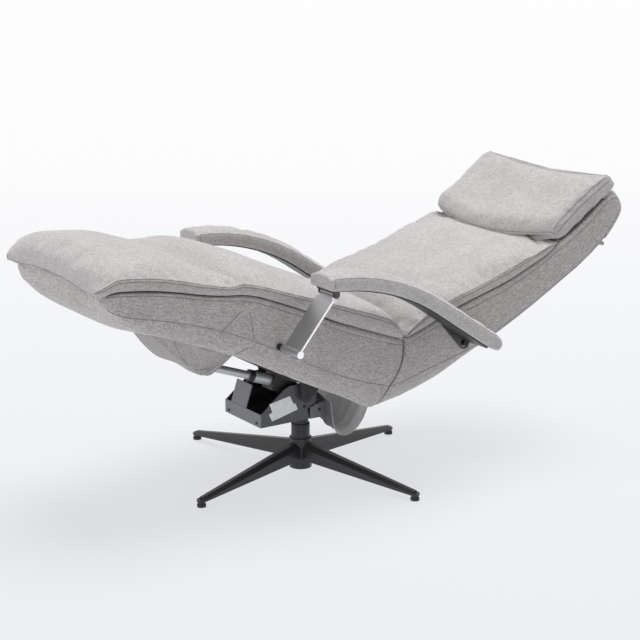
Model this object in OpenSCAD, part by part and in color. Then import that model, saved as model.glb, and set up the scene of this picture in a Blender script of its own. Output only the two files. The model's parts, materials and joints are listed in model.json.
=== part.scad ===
// Star base swivel recliner, lying position. Millimetres, +Z up, footrest towards -Y.
// The origin is the point of the floor under the swivel axis.

/* [Overall] */
// Width of the seat, back and footrest cushions
cushion_w = 510; // [460:5:560]
// Length of the seat from the crease to the knee hinge
seat_len = 476; // [440:1:520]
// Length of the footrest from the knee hinge to its front edge
foot_len = 371; // [330:1:410]
// Length of the backrest from its hinge to its top
back_len = 769; // [720:1:820]
// Width of an armrest
arm_w = 88; // [76:1:100]

/* [Lying position] */
// Fall of the seat towards the back
seat_slope = 19.4; // [17:0.1:22]
// Rise of the backrest towards the head
back_slope = 17; // [14:0.5:20]
// Rise of the footrest towards the feet
foot_slope = 10; // [7:0.5:13]

/* [Travel] */
// Turn of the footrest from lying to folded
fold_turn = 80; // [70:1:82]
// Turn of the backrest from lying to upright
raise_turn = 38; // [30:1:40]

/* [Star base] */
// Radius of the circle through the four glides
glide_circle_r = 363; // [320:1:400]
// Turn of the first leg from the side of the chair
leg_turn = 16.1; // [0:0.1:45]
// Height of a glide
glide_h = 13; // [8:0.5:18]
// Diameter of a glide
glide_d = 22; // [18:0.5:30]
// Width of a leg at the hub
leg_root_w = 38; // [30:1:46]
// Width of a leg at its tip
leg_tip_w = 23; // [20:0.5:28]
// Depth of a leg at the hub
leg_root_h = 44; // [36:1:52]
// Thickness of a leg at its tip
leg_tip_h = 11; // [8:0.5:16]
// Diameter of the hub
hub_d = 57; // [54:0.5:66]
// Height of the hub's top above the floor
hub_top = 84; // [78:1:96]
// Gap between the hub and the floor
hub_foot = 6; // [3:0.5:9]

/* [Column] */
// Radius of the column tube
column_r = 23.5; // [22:0.5:25]
// Radius of the turning spindle
spindle_r = 16; // [12:0.5:17]
// Wall of the column tube
column_wall = 3.5; // [2:0.5:4]
// Height of the column tube's top above the floor
column_top = 113; // [108:1:120]
// Height of the bush flange
flange_h = 8; // [5:0.5:12]

/* [Mechanism housing] */
// Height of the housing's bottom above the floor
housing_z = 158; // [150:1:170]
// Width of the housing
housing_w = 166; // [150:1:176]
// Thickness of the housing's sheet
sheet_t = 3; // [2:0.5:4]
// Thickness of the swivel plate
swivel_plate_t = 6; // [4:0.5:8]
// Reach of the housing in front of the swivel axis
housing_front = 170; // [160:1:180]
// Reach of the swivel plate behind the swivel axis
housing_back = 32; // [28:1:34]
// Height of the tilt shaft above the housing's bottom
shaft_up = 64; // [60:1:70]
// Distance of the tilt shaft in front of the swivel axis
shaft_front = 45; // [35:1:55]
// Radius of the tilt shaft
shaft_r = 8; // [6:0.5:10]

/* [Seat] */
// Distance from the tilt shaft back to the crease, along the seat
shaft_to_crease = 122; // [110:1:135]
// Distance from the tilt shaft up to the crease, square to the seat
seat_rise = 206; // [200:1:215]
// Thickness of the padded side panels
side_t = 26; // [20:1:30]
// Inset of the side panels from the cushion edge
side_inset = 3; // [2:0.5:6]
// Depth of the seat's sides at the back
seat_depth = 176; // [165:1:190]
// Edge thickness of the seat cushion
seat_pad_t = 42; // [36:1:50]
// Edge thickness of the footrest cushion
foot_pad_t = 28; // [22:1:34]
// Edge thickness of the back cushion
back_pad_t = 30; // [24:1:36]
// Crown of the cushions over their edges
crown_h = 28; // [15:1:36]
// Depth of the footrest at the knee
foot_depth = 128; // [110:1:140]
// Depth of the backrest
back_depth = 95; // [85:1:105]

/* [Armrests] */
// Gap between an armrest and the cushions
arm_gap = 4; // [3:0.5:10]
// Thickness of an armrest's pad at the front
arm_pad_t = 44; // [36:1:52]
// Radius of an armrest's bow, along its underside
arm_bow_r = 561; // [520:1:620]
// Turn of the bow before the armrest runs straight
arm_bow_turn = 34; // [30:0.5:37]
// Length of the straight end of an armrest
arm_tail = 226; // [200:1:250]
// Length of the front bar between its pivots
link_len = 161; // [150:1:172]
// Width of the flat steel bar
bar_w = 66; // [50:1:72]
// Thickness of the front bar
bar_t = 5; // [4:0.5:6]
// Lean of the front bar from square to the seat
link_lean = 20.3; // [15:0.1:25]
// Radius of the round rod at the foot of the front bar
link_rod_r = 9; // [8:0.5:11]

/* [Head pillow] */
// Length of the pillow along the back
pillow_len = 226; // [200:1:240]
// Thickness of the pillow
pillow_t = 54; // [40:1:64]
// Sag of the pillow between its ends
pillow_sag = 10; // [0:1:20]

/* [Drives] */
// Radius of a drive's outer tube
drive_tube_r = 14; // [12:0.5:15]
// Radius of a drive's rod
drive_rod_r = 10; // [8:0.5:11]
// Distance of the footrest drive from the middle
foot_drive_x = 45; // [42:1:48]
// Radius of the footrest's drive crank
foot_crank_r = 60; // [54:1:66]
// Radius of the backrest's drive crank
back_crank_r = 70; // [62:1:76]

/* [Hidden] */
$fn = 32;
cut = 1;
fit = 0.05;
touch = 0.3;

casting = "#2c2d2f";
sheet_grey = "#4a4b4f";
light_grey = "#66686b";
black = "#1c1c1e";
steel = "#b9bcc0";
fabric_top = "#c3bfba";
fabric_side = "#a39c97";

// Widths across the chair
half_w = cushion_w / 2;
body_w = cushion_w - 2 * side_inset;
inner_w = body_w - 2 * side_t;
shell_step = 2;
shell_t = side_t - shell_step;
shell_inner_w = body_w - 2 * shell_t;
arm_x = half_w + arm_gap + arm_w / 2;

// Fixed points in the frames of the seat, the footrest and the backrest
shaft = [-shaft_front, housing_z + shaft_up];
knee_drop = 4.6;
knee = [-seat_len, -knee_drop];
hinge_back = 4;
hinge_drop = 47;
hip = [hinge_back, -hinge_drop];
pivot_front = 352;
pivot_drop = 87;
arm_foot = [-pivot_front, -pivot_drop];

function turn(p, a) = [p.x * cos(a) - p.y * sin(a), p.x * sin(a) + p.y * cos(a)];
function of_size(shares, a, b) = [for (p = shares) [p.x * a, p.y * b]];
function back_to_front(list) = [for (i = [len(list) - 1:-1:0]) list[i]];
function moved(list, d) = [for (p = list) p + d];

module on_seat()
    translate([0, shaft.x, shaft.y]) rotate([-seat_slope, 0, 0])
        translate([0, shaft_to_crease, seat_rise]) children();
module at(p) translate([0, p.x, p.y]) children();
module on_foot() on_seat() at(knee) rotate([seat_slope - foot_slope, 0, 0]) children();
module on_back() on_seat() at(hip) rotate([seat_slope + back_slope, 0, 0]) children();
module on_link() on_seat() at(arm_foot) rotate([-link_lean, 0, 0]) children();
module on_arm() on_link() translate([0, 0, link_len]) rotate([seat_slope + link_lean, 0, 0]) children();
module across(w, x = 0) translate([x - w / 2, 0, 0]) rotate([90, 0, 90]) linear_extrude(height = w)
    children();
module rod_x(r, w, x = 0) translate([x - w / 2, 0, 0]) rotate([0, 90, 0]) cylinder(r = r, h = w);
module both_sides() { children(); mirror([1, 0, 0]) children(); }
module on_side(s) if (s > 0) children(); else mirror([1, 0, 0]) children();

// A padded form made of rings. A station is
// [along, height, slope, half width, depth below, edge above, crown]
ring_n = 28;
corner_share = 0.42;
function soft_share(v) = sign(v) * pow(abs(v), corner_share);
function ring_point(s, a) =
    let (
        side = soft_share(cos(a)),
        lift = soft_share(sin(a)),
        dome = 1 - side * side,
        n = lift < 0 ? lift * s[4] : lift * (s[5] + s[6] * dome)
    )
    [side * s[3], s[0] - n * sin(s[2]), s[1] + n * cos(s[2])];
function ring_points(s, n) = [for (j = [0:n - 1]) ring_point(s, 360 * j / n)];
module padded(stations, n = ring_n) {
    m = len(stations);
    points = [for (s = stations) each ring_points(s, n)];
    ends = [[0, stations[0][0], stations[0][1]], [0, stations[m - 1][0], stations[m - 1][1]]];
    faces = concat(
        [for (i = [0:m - 2]) for (j = [0:n - 1]) [i * n + j, i * n + (j + 1) % n,
            (i + 1) * n + (j + 1) % n]],
        [for (i = [0:m - 2]) for (j = [0:n - 1]) [i * n + j, (i + 1) * n + (j + 1) % n, (i + 1) * n + j]],
        [for (j = [0:n - 1]) [m * n, (j + 1) % n, j]],
        [for (j = [0:n - 1]) [m * n + 1, (m - 1) * n + j, (m - 1) * n + (j + 1) % n]]
    );
    polyhedron(points = concat(points, ends), faces = faces);
}

// A shell open on its padded face. Both lines run away from the hinge, the hollow lies between the ends
module tray(top, floor_line, floor_t, ends) {
    high = max([for (p = top) p.y]) + cut;
    tip = floor_line[len(floor_line) - 1].x;
    open_end = floor_line[0].x - tip / 2;
    difference() {
        across(body_w) polygon(concat(top, back_to_front(floor_line)));
        across(shell_inner_w) intersection() {
            translate([0, floor_t]) polygon(concat(
                [[open_end, high], [open_end, floor_line[0].y]], floor_line, [[tip, high]]
            ));
            translate([ends[0], -abs(tip)]) square([ends[1] - ends[0], 2 * abs(tip)]);
        }
    }
}

// Star base
leg_fall = 9;
leg_top = hub_top - leg_fall;
tip_top = glide_h + leg_tip_h;
edge_share = 0.3;
skin = 1;
module leg_section(w, low, high) {
    c = w * edge_share;
    rotate([90, 0, 90]) linear_extrude(height = skin)
        polygon([[-w / 2, low], [w / 2, low], [w / 2, high - c], [w / 2 - c, high], [c - w / 2, high],
            [-w / 2, high - c]]);
}
module star_base() color(casting) difference() {
    union() {
        translate([0, 0, hub_foot]) cylinder(d = hub_d, h = hub_top - hub_foot);
        for (i = [0:3]) rotate(leg_turn + 90 * i) {
            hull() {
                translate([hub_d / 4, 0, 0]) leg_section(leg_root_w, leg_top - leg_root_h, leg_top);
                translate([glide_circle_r - skin, 0, 0]) leg_section(leg_tip_w, glide_h, tip_top);
            }
            translate([glide_circle_r, 0, glide_h]) cylinder(d = leg_tip_w, h = leg_tip_h / 2);
        }
    }
    translate([0, 0, hub_foot - cut]) cylinder(r = column_r + fit, h = hub_top - hub_foot + 2 * cut);
}
glide_lip = 2;
module glides() color(black) for (i = [0:3]) rotate(leg_turn + 90 * i) translate([glide_circle_r, 0, 0]) {
    cylinder(d = glide_d, h = glide_h / 2);
    cylinder(d = glide_d - 2 * glide_lip, h = glide_h);
}
plug_t = 5;
module hub_plug() color(black) translate([0, 0, hub_foot]) cylinder(r = column_r, h = plug_t);
module column_tube() color(casting) difference() {
    translate([0, 0, hub_foot + plug_t]) cylinder(r = column_r, h = column_top - hub_foot - plug_t);
    translate([0, 0, hub_foot]) cylinder(r = column_r - column_wall, h = column_top);
}
spindle_foot = hub_foot + 3 * plug_t;
module column_bush() color(black) difference() {
    union() {
        translate([0, 0, spindle_foot]) cylinder(r = column_r - column_wall - fit,
            h = column_top - spindle_foot);
        translate([0, 0, column_top]) cylinder(r = column_r, h = flange_h);
    }
    translate([0, 0, spindle_foot - cut])
        cylinder(r = spindle_r + fit, h = column_top + flange_h - spindle_foot + 2 * cut);
}

// Swivelling housing of the mechanism
neck_t = 4;
module spindle() color(casting) {
    translate([0, 0, spindle_foot]) cylinder(r = spindle_r, h = housing_z - spindle_foot);
    translate([0, 0, column_top + flange_h + 2 * touch])
        cylinder(r = spindle_r + neck_t, h = housing_z - column_top - flange_h - 2 * touch);
}
plate_w = housing_w - 2 * sheet_t;
module swivel_plate() color(sheet_grey)
    translate([-plate_w / 2, -housing_front + sheet_t, housing_z])
        cube([plate_w, housing_front - sheet_t + housing_back, swivel_plate_t]);
// Side plate outline as shares of the housing's front reach and of the shaft's height
side_plate_shares = [
    [-1, 0], [-1, 0.53], [-0.8, 0.95], [-0.6, 1.36], [-0.5, 1.46], [-0.34, 1.46], [-0.2, 1.32],
    [-0.04, 1.09], [-0.05, 0.66], [-0.2, 0.42], [-0.17, 0]
];
module side_plates() color(sheet_grey) both_sides() difference() {
    across(sheet_t, (housing_w - sheet_t) / 2)
        polygon(moved(of_size(side_plate_shares, housing_front - sheet_t, shaft_up), [0, housing_z]));
    at(shaft) rod_x(shaft_r + fit, housing_w + 2 * cut);
}
band_share = 0.53;
ear_w = 70;
ear_x = -21;
ear_lean = 18;
ear_h = 62;
module front_plate() color(light_grey) translate([0, -housing_front, housing_z]) {
    translate([-housing_w / 2, 0, 0]) cube([housing_w, sheet_t, shaft_up * band_share]);
    translate([ear_x - ear_w / 2, 0, shaft_up * band_share - sheet_t])
        rotate([-ear_lean, 0, 0]) cube([ear_w, sheet_t, ear_h]);
}
bracket_reach = 27;
bracket_h = 40;
module bracket_plates() color(light_grey) both_sides()
    across(sheet_t, (housing_w + sheet_t) / 2) polygon([
        [-bracket_reach, housing_z], [bracket_reach, housing_z], [bracket_reach, housing_z + bracket_h / 2],
        [bracket_reach / 2, housing_z + bracket_h], [-bracket_reach, housing_z + bracket_h * 3 / 4]
    ]);
gearbox_r = 27;
gearbox_w = 56;
motor_r = 20;
motor_x = -gearbox_w / 4 - gearbox_w / 2;
motor_len = housing_front - shaft_front - gearbox_r - 3 * sheet_t;
module tilt_motor() color(black) difference() {
    at(shaft) {
        rod_x(gearbox_r, gearbox_w, motor_x);
        translate([motor_x, -gearbox_r / 2, -motor_r / 2]) rotate([90, 0, 0])
            cylinder(r = motor_r, h = motor_len);
        translate([motor_x - gearbox_w / 4, -gearbox_r / 2, swivel_plate_t - shaft_up])
            cube([gearbox_w / 2, gearbox_r, shaft_up - swivel_plate_t - gearbox_r / 2]);
    }
    at(shaft) rod_x(shaft_r + fit, 2 * gearbox_w, motor_x);
}
screw_r = 3.5;
screw_h = 2;
screw_in = 18;
module housing_screws() color(black) {
    for (s = [-1, 1]) translate([s * (housing_w / 2 - screw_in), -housing_front, housing_z + screw_in / 2])
        rotate([90, 0, 0]) cylinder(r = screw_r, h = screw_h);
    both_sides() translate([housing_w / 2, -housing_front / 4, housing_z + shaft_up * band_share])
        rotate([0, 90, 0]) cylinder(r = screw_r, h = screw_h);
    both_sides() translate([housing_w / 2 + sheet_t, 0, housing_z + bracket_h / 2])
        rotate([0, 90, 0]) cylinder(r = screw_r, h = screw_h);
}

// Seat
bracket_t = 4;
bracket_gap = 6;
tilt_bracket_x = housing_w / 2 + sheet_t + screw_h + bracket_gap + bracket_t / 2;
mount_z = -158;
mount_t = 4;
mount_front = 275;
mount_back = 40;
shaft_drop = [-shaft_to_crease, -seat_rise];
module tilt_shaft() color(steel) on_seat() at(shaft_drop) rod_x(shaft_r, 2 * tilt_bracket_x + bracket_t);
module tilt_brackets() color(black) on_seat() both_sides() difference() {
    union() {
        across(bracket_t, tilt_bracket_x) polygon([
            shaft_drop + [-2 * shaft_r, 0], shaft_drop + [2 * shaft_r, 0],
            [shaft_drop.x + 5 * shaft_r, mount_z - mount_t], [shaft_drop.x - 5 * shaft_r, mount_z - mount_t]
        ]);
        at(shaft_drop) rod_x(2 * shaft_r, bracket_t, tilt_bracket_x);
    }
    at(shaft_drop) rod_x(shaft_r + fit, bracket_t + 2 * cut, tilt_bracket_x);
}
rail_t = 3;
rail_x = inner_w / 2 - touch - rail_t / 2;
module mount_plate() color(black) on_seat()
    translate([-rail_x - rail_t / 2, -mount_front, mount_z - mount_t])
        cube([2 * rail_x + rail_t, mount_front - mount_back, mount_t]);
eye_r = 13;
pin_r = 6;
rail_top = -16;
rail_neck = 100;
module seat_rails() color(black) on_seat() both_sides() difference() {
    union() {
        across(rail_t, rail_x) polygon([
            knee + [0, eye_r * 0.9], [-seat_len + rail_neck, rail_top], [-mount_back, rail_top],
                hip + [0, eye_r],
            hip - [0, eye_r], [-mount_back, mount_z], [-mount_front, mount_z],
            [-seat_len + 1.1 * rail_neck, -1.15 * rail_neck], knee - [0, eye_r]
        ]);
        at(knee) rod_x(eye_r, rail_t, rail_x);
        at(hip) rod_x(eye_r, rail_t, rail_x);
    }
    at(knee) rod_x(pin_r + fit, rail_t + 2 * cut, rail_x);
    at(hip) rod_x(pin_r + fit, rail_t + 2 * cut, rail_x);
    at(arm_foot) rod_x(arm_pin_r + fit, rail_t + 2 * cut, rail_x);
}
strap_w = 50;
strap_t = 2;
seat_straps = 5;
module seat_webbing() color(black) on_seat() for (i = [1:seat_straps])
    translate([-rail_x + rail_t / 2, -seat_len * i / (seat_straps + 1) - strap_w / 2, rail_top - strap_t])
        cube([2 * rail_x - rail_t, strap_w, strap_t]);

// Edge lines of the seat's side as shares of the seat's length and depth
turn_ease = 1.5;
fold_half = (fold_turn + seat_slope - foot_slope) / 2 + turn_ease;
raise_half = raise_turn / 2 + turn_ease;
seat_top_shares = [[-0.24, -0.019], [-0.4, -0.01], [-0.54, 0.018], [-0.78, 0.058], [-0.965, 0.07]];
seat_low_shares = [[-0.536, -0.875], [-0.24, -0.972], [-0.095, -1.01]];
seat_front_low = [knee.x + seat_depth * 0.78 * tan(fold_half), -seat_depth * 0.78 - knee_drop];
crease_lean = atan2(hinge_back, hinge_drop) + raise_half;
crease_inset = 4;
crease_rise = hinge_drop - crease_inset;
seat_rear_top = hip + [-tan(crease_lean) * crease_rise, crease_rise];
seam_gap = 1;
seat_corner_in = 9;
seat_rear_low = [-seat_corner_in - seam_gap, -seat_depth * 0.83];
seat_outline = concat(
    [hip - [seam_gap, 0], seat_rear_top - [seam_gap, 0]], of_size(seat_top_shares, seat_len, seat_depth),
    [knee + [seam_gap, eye_r], knee + [seam_gap, 0], seat_front_low],
    of_size(seat_low_shares, seat_len, seat_depth), [seat_rear_low]
);
module seat_side(s) color(fabric_side) on_seat() on_side(s) difference() {
    across(side_t, (body_w - side_t) / 2) polygon(seat_outline);
    at(arm_foot) rod_x(arm_pin_r + fit, body_w);
}
cover_t = 3;
module seat_dust_cover() color(black) on_seat() across(inner_w - 2 * touch) polygon([
    [-mount_back + touch, mount_z - mount_t], [-mount_back + touch, mount_z - mount_t + cover_t],
    seat_rear_low + [0, cover_t], seat_rear_low
]);
seat_pad_base = [[0, -0.06], [0.24, -0.06], [0.4, -0.02], [0.54, 0.1], [0.77, 0.27], [1, 0.33]];
seat_pad_edge = [[0, 0.45], [0.04, 0.72], [0.13, 0.93], [0.22, 1], [0.67, 0.72], [0.9, 0.56], [1, 0.52]];
pad_ends = [[0, 0.45], [0.03, 0.9], [0.07, 1], [0.95, 1], [0.99, 0.9], [1, 0.8]];
pad_sides = [[0, 0.97], [0.04, 1], [0.25, 0.99], [0.5, 0.984], [0.75, 0.99], [0.96, 1], [1, 0.985]];
pad_dome = [[0, 0], [0.04, 0.2], [0.12, 0.7], [0.25, 1], [0.8, 1], [1, 0.85]];
pad_n = 20;
seat_pad_back = 24;
seat_pad_sink = 2;
function seat_station(u) =
    let (t = seat_pad_t * lookup(u, seat_pad_edge) * lookup(u, pad_ends))
    [-seat_pad_back - (seat_len - seat_pad_back - seam_gap) * u,
        touch - seat_pad_sink + seat_pad_t * lookup(u, seat_pad_base) + t / 2, 0,
     half_w * lookup(u, pad_sides), t / 2, t / 2, crown_h * lookup(u, pad_dome)];
module seat_cushion() color(fabric_top) on_seat()
    padded([for (i = [pad_n:-1:0]) seat_station(i / pad_n)]);

module hinge_pin(p) at(p) rod_x(pin_r, rail_t + foot_arm_t + 3 / 2 * foot_arm_gap,
    rail_x - (foot_arm_t + 3 / 2 * foot_arm_gap) / 2);
module foot_hinge_pins() color(steel) on_seat() both_sides() hinge_pin(knee);
module back_hinge_pins() color(steel) on_seat() both_sides() hinge_pin(hip);
arm_pin_r = 5;
spacer_r = 8;
bar_x0 = arm_x - bar_w / 2;
module arm_pivots() color(black) on_seat() both_sides() at(arm_foot) {
    rod_x(arm_pin_r, bar_w / 2 + bar_x0 - rail_x, (rail_x + arm_x) / 2);
    rod_x(spacer_r, bar_x0 - body_w / 2 - 2 * touch, (bar_x0 + body_w / 2) / 2);
}

// Drives
drive_z = -191;
foot_tube_front = seat_len * 0.542;
foot_tube_back = seat_len * 0.298;
motor_w = 44;
motor_l = 66;
module foot_motor() color(black) on_seat() difference() {
    translate([foot_drive_x - motor_w / 2, -foot_tube_back - motor_l, drive_z - motor_w / 2])
        cube([motor_w, motor_l, mount_z - mount_t - drive_z + motor_w / 2]);
    translate([foot_drive_x, 0, drive_z]) rotate([90, 0, 0])
        cylinder(r = drive_tube_r + fit, h = foot_tube_back + motor_l + cut);
}
module foot_tube() color(steel) on_seat() difference() {
    translate([foot_drive_x, -foot_tube_back, drive_z]) rotate([90, 0, 0])
        cylinder(r = drive_tube_r, h = foot_tube_front - foot_tube_back);
    translate([foot_drive_x, -foot_tube_back - cover_t, drive_z]) rotate([90, 0, 0])
        cylinder(r = drive_rod_r + fit, h = foot_tube_front);
}
collar_h = 13;
collar_t = 1;
module foot_collar() color(black) on_seat() difference() {
    translate([foot_drive_x, -foot_tube_front, drive_z]) rotate([90, 0, 0])
        cylinder(r = drive_tube_r + collar_t, h = collar_h);
    translate([foot_drive_x, -foot_tube_front + cut, drive_z]) rotate([90, 0, 0])
        cylinder(r = drive_rod_r + fit, h = collar_h + 2 * cut);
}
// The crank pins turn by half the travel to either side of straight down
foot_pin = knee + foot_crank_r * [-sin(fold_turn / 2), -cos(fold_turn / 2)];
foot_slot_h = foot_crank_r * (1 - cos(fold_turn / 2));
crank_pin_r = 5;
slot_play = 2;
drive_plate_t = 6;
foot_rod_tip = [-seat_len * 0.861, drive_z];
module slot_plate(x, top, slot_h, foot_end) difference() {
    across(drive_plate_t, x) difference() {
        polygon([
            top + [-2.6 * crank_pin_r, 2.4 * crank_pin_r], top + [2.6 * crank_pin_r, 2.4 * crank_pin_r],
            top + [2.6 * crank_pin_r, -slot_h - crank_pin_r], foot_end + [2 * crank_pin_r, drive_rod_r],
            foot_end + [2 * crank_pin_r, -drive_rod_r], foot_end - [2 * crank_pin_r, drive_rod_r],
            top + [-2.6 * crank_pin_r, -slot_h - 3 * crank_pin_r]
        ]);
        translate(top - [crank_pin_r + slot_play, slot_h + crank_pin_r + slot_play])
            square([2 * (crank_pin_r + slot_play), slot_h + 2 * (crank_pin_r + slot_play)]);
    }
}
module foot_drive_arm() color(black) on_seat()
    slot_plate(foot_drive_x, foot_pin, foot_slot_h, foot_rod_tip);
rod_reserve = 18;
module foot_rod() color(steel) on_seat()
    translate([foot_drive_x, -foot_tube_front + rod_reserve, drive_z]) rotate([90, 0, 0])
        cylinder(r = drive_rod_r, h = -foot_rod_tip.x - 2 * crank_pin_r - foot_tube_front + rod_reserve);

drive_offset = 5;
back_drive_x = -foot_drive_x - drive_offset;
back_pin = hip + back_crank_r * [-sin(raise_turn / 2), -cos(raise_turn / 2)];
back_stroke = 2 * back_crank_r * sin(raise_turn / 2);
back_slot_h = back_crank_r * (1 - cos(raise_turn / 2));
back_tube_front = 235;
back_tube_end = 105;
back_rod_step = 2;
back_rod_r = drive_rod_r - back_rod_step;
module back_motor() color(black) on_seat() {
    translate([back_drive_x - motor_w / 2, -back_tube_front - motor_l, mount_z])
        cube([motor_w, motor_l, back_pin.y - mount_z + motor_w / 2]);
    translate([back_drive_x, -back_tube_end, back_pin.y]) rotate([90, 0, 0]) difference() {
        cylinder(r = drive_rod_r + cover_t, h = back_tube_front - back_tube_end);
        translate([0, 0, -cut]) cylinder(r = back_rod_r + fit, h = back_tube_front - back_tube_end);
    }
}
module back_rod() color(steel) on_seat()
    translate([back_drive_x, back_pin.x - 2.6 * crank_pin_r, back_pin.y]) rotate([90, 0, 0])
        cylinder(r = back_rod_r,
            h = back_tube_end + back_stroke + rod_reserve + back_pin.x - 2.6 * crank_pin_r);
module back_drive_plate() color(black) on_seat() across(drive_plate_t, back_drive_x) difference() {
    translate(back_pin - [2.6 * crank_pin_r, back_slot_h + 2.4 * crank_pin_r])
        square([5.2 * crank_pin_r, back_slot_h + 4.8 * crank_pin_r]);
    translate(back_pin - [crank_pin_r + slot_play, back_slot_h + crank_pin_r + slot_play])
        square([2 * (crank_pin_r + slot_play), back_slot_h + 2 * (crank_pin_r + slot_play)]);
}

// Footrest
foot_arm_t = 5;
foot_arm_gap = 4;
foot_arm_x = rail_x - rail_t / 2 - foot_arm_gap - foot_arm_t / 2;
foot_arm_h = 22;
module foot_arms() color(black) on_foot() both_sides() difference() {
    union() {
        across(foot_arm_t, foot_arm_x) polygon([
            [0, eye_r / 2], [-foot_len * 0.85, -eye_r], [-foot_len * 0.85, -eye_r - foot_arm_h], [0, -eye_r]
        ]);
        rod_x(eye_r, foot_arm_t, foot_arm_x);
    }
    rod_x(pin_r + fit, foot_arm_t + 2 * cut, foot_arm_x);
}
tube_r = 9;
foot_rear_tube = [-foot_len * 0.26, -foot_arm_h];
foot_front_tube = [-foot_len * 0.8, -foot_arm_h];
module foot_cross_tubes() color(black) on_foot() for (p = [foot_rear_tube, foot_front_tube])
    at(p) rod_x(tube_r, 2 * foot_arm_x - foot_arm_t);
foot_pin_local = turn(foot_pin - knee, foot_slope - seat_slope);
lug_t = 3;
lug_gap = 1.5;
lug_wall = 2;
module lug(x, pin, tube) {
    for (s = [-1, 1]) across(lug_t, x + s * (drive_plate_t / 2 + lug_gap + lug_t / 2)) difference() {
        hull() {
            translate(pin) circle(r = 2 * crank_pin_r);
            translate(tube) circle(r = tube_r + lug_wall);
        }
        translate(tube) circle(r = tube_r + fit);
    }
    at(pin) rod_x(crank_pin_r, drive_plate_t + 2 * lug_gap + 2 * lug_t, x);
}
module foot_lug() color(black) on_foot() lug(foot_drive_x, foot_pin_local, foot_rear_tube);
foot_straps = 3;
module foot_webbing() color(black) on_foot() for (i = [1:foot_straps])
    translate([-foot_arm_x + foot_arm_t / 2, -foot_len * (0.14 + 0.2 * i) - strap_w / 2,
        -eye_r / 2 - strap_t])
        cube([2 * foot_arm_x - foot_arm_t, strap_w, strap_t]);
foot_top_shares = [
    [-0.03, 0.06], [-0.16, 0.07], [-0.3, 0.07], [-0.47, 0.09], [-0.64, 0.1], [-0.8, 0.07], [-0.91, 0.02],
    [-0.985, -0.09]
];
foot_low_shares = [[-0.965, -0.2], [-0.93, -0.36], [-0.885, -0.47], [-0.685, -0.625], [-0.46, -0.758],
    [-0.37, -0.81]];
foot_rear_low = [-foot_depth * 0.86 * tan(fold_half), -foot_depth * 0.86];
foot_floor_t = 12;
notch_w = 34;
module foot_shell() color(fabric_side) on_foot() difference() {
    tray(
        concat([[-seam_gap * 2, 0]], of_size(foot_top_shares, foot_len, foot_depth)),
        concat([foot_rear_low], back_to_front(of_size(foot_low_shares, foot_len, foot_depth))),
        foot_floor_t, [-foot_len * 0.93, foot_len]
    );
    translate([foot_drive_x - notch_w / 2, -foot_len * 0.55, -foot_depth - cut])
        cube([notch_w, foot_len, foot_depth]);
}
foot_pad_base = [[0, 0.49], [0.08, 0.4], [0.16, 0.34], [0.3, 0.34], [0.47, 0.45], [0.64, 0.48], [0.8, 0.36],
    [0.91, 0.16], [1, -0.3]];
foot_pad_edge = [[0, 0.7], [0.1, 0.78], [0.3, 0.8], [0.6, 1], [0.87, 0.92], [0.93, 0.7], [1, 0.35]];
foot_dome = [[0, 0.85], [0.2, 1], [0.8, 1], [0.93, 0.75], [1, 0.1]];
foot_sides = [[0, 0.985], [0.04, 1], [0.5, 0.985], [0.9, 1], [0.96, 0.99], [1, 0.955]];
function foot_station(u) =
    let (t = foot_pad_t * lookup(u, foot_pad_edge))
    [-seam_gap - (foot_len - seam_gap) * u, touch + foot_pad_t * lookup(u, foot_pad_base) + t / 2, 0,
     half_w * lookup(u, foot_sides), t / 2, t / 2, crown_h * lookup(u, foot_dome)];
module foot_cushion() color(fabric_top) on_foot()
    padded([for (i = [pad_n:-1:0]) foot_station(i / pad_n)]);

// Backrest
back_arm_t = 5;
module back_rails() color(black) on_back() both_sides() difference() {
    union() {
        across(back_arm_t, foot_arm_x) polygon([
            [0, eye_r], [back_len * 0.45, back_depth * 0.16], [back_len * 0.88, back_depth * 0.66],
                [back_len * 0.9, back_depth * 0.4],
            [back_len * 0.5, -back_depth * 0.36], [0, -eye_r * 3], [-3 * eye_r, -eye_r * 5],
                [-3 * eye_r, -eye_r * 3]
        ]);
        rod_x(eye_r, back_arm_t, foot_arm_x);
    }
    rod_x(pin_r + fit, back_arm_t + 2 * cut, foot_arm_x);
}
back_low_tube = [-2 * eye_r, -eye_r * 4];
back_mid_tube = [back_len * 0.42, -back_depth * 0.3];
back_top_tube = [back_len * 0.84, back_depth * 0.4];
module back_cross_tubes() color(black) on_back() for (p = [back_low_tube, back_mid_tube, back_top_tube])
    at(p) rod_x(tube_r, 2 * foot_arm_x - back_arm_t);
back_pin_local = turn(back_pin - hip, -seat_slope - back_slope);
module back_lug() color(black) on_back() lug(back_drive_x, back_pin_local, back_low_tube);
back_straps = 6;
back_strap_rise = [[0, 0.1], [0.45, 0.1], [1, 0.62]];
module back_webbing() color(black) on_back() for (i = [1:back_straps])
    let (u = 0.06 + 0.12 * i)
    translate([-foot_arm_x + back_arm_t / 2, back_len * u - strap_w / 2,
        back_depth * lookup(u, back_strap_rise) - strap_t])
        cube([2 * foot_arm_x - back_arm_t, strap_w, strap_t]);
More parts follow.
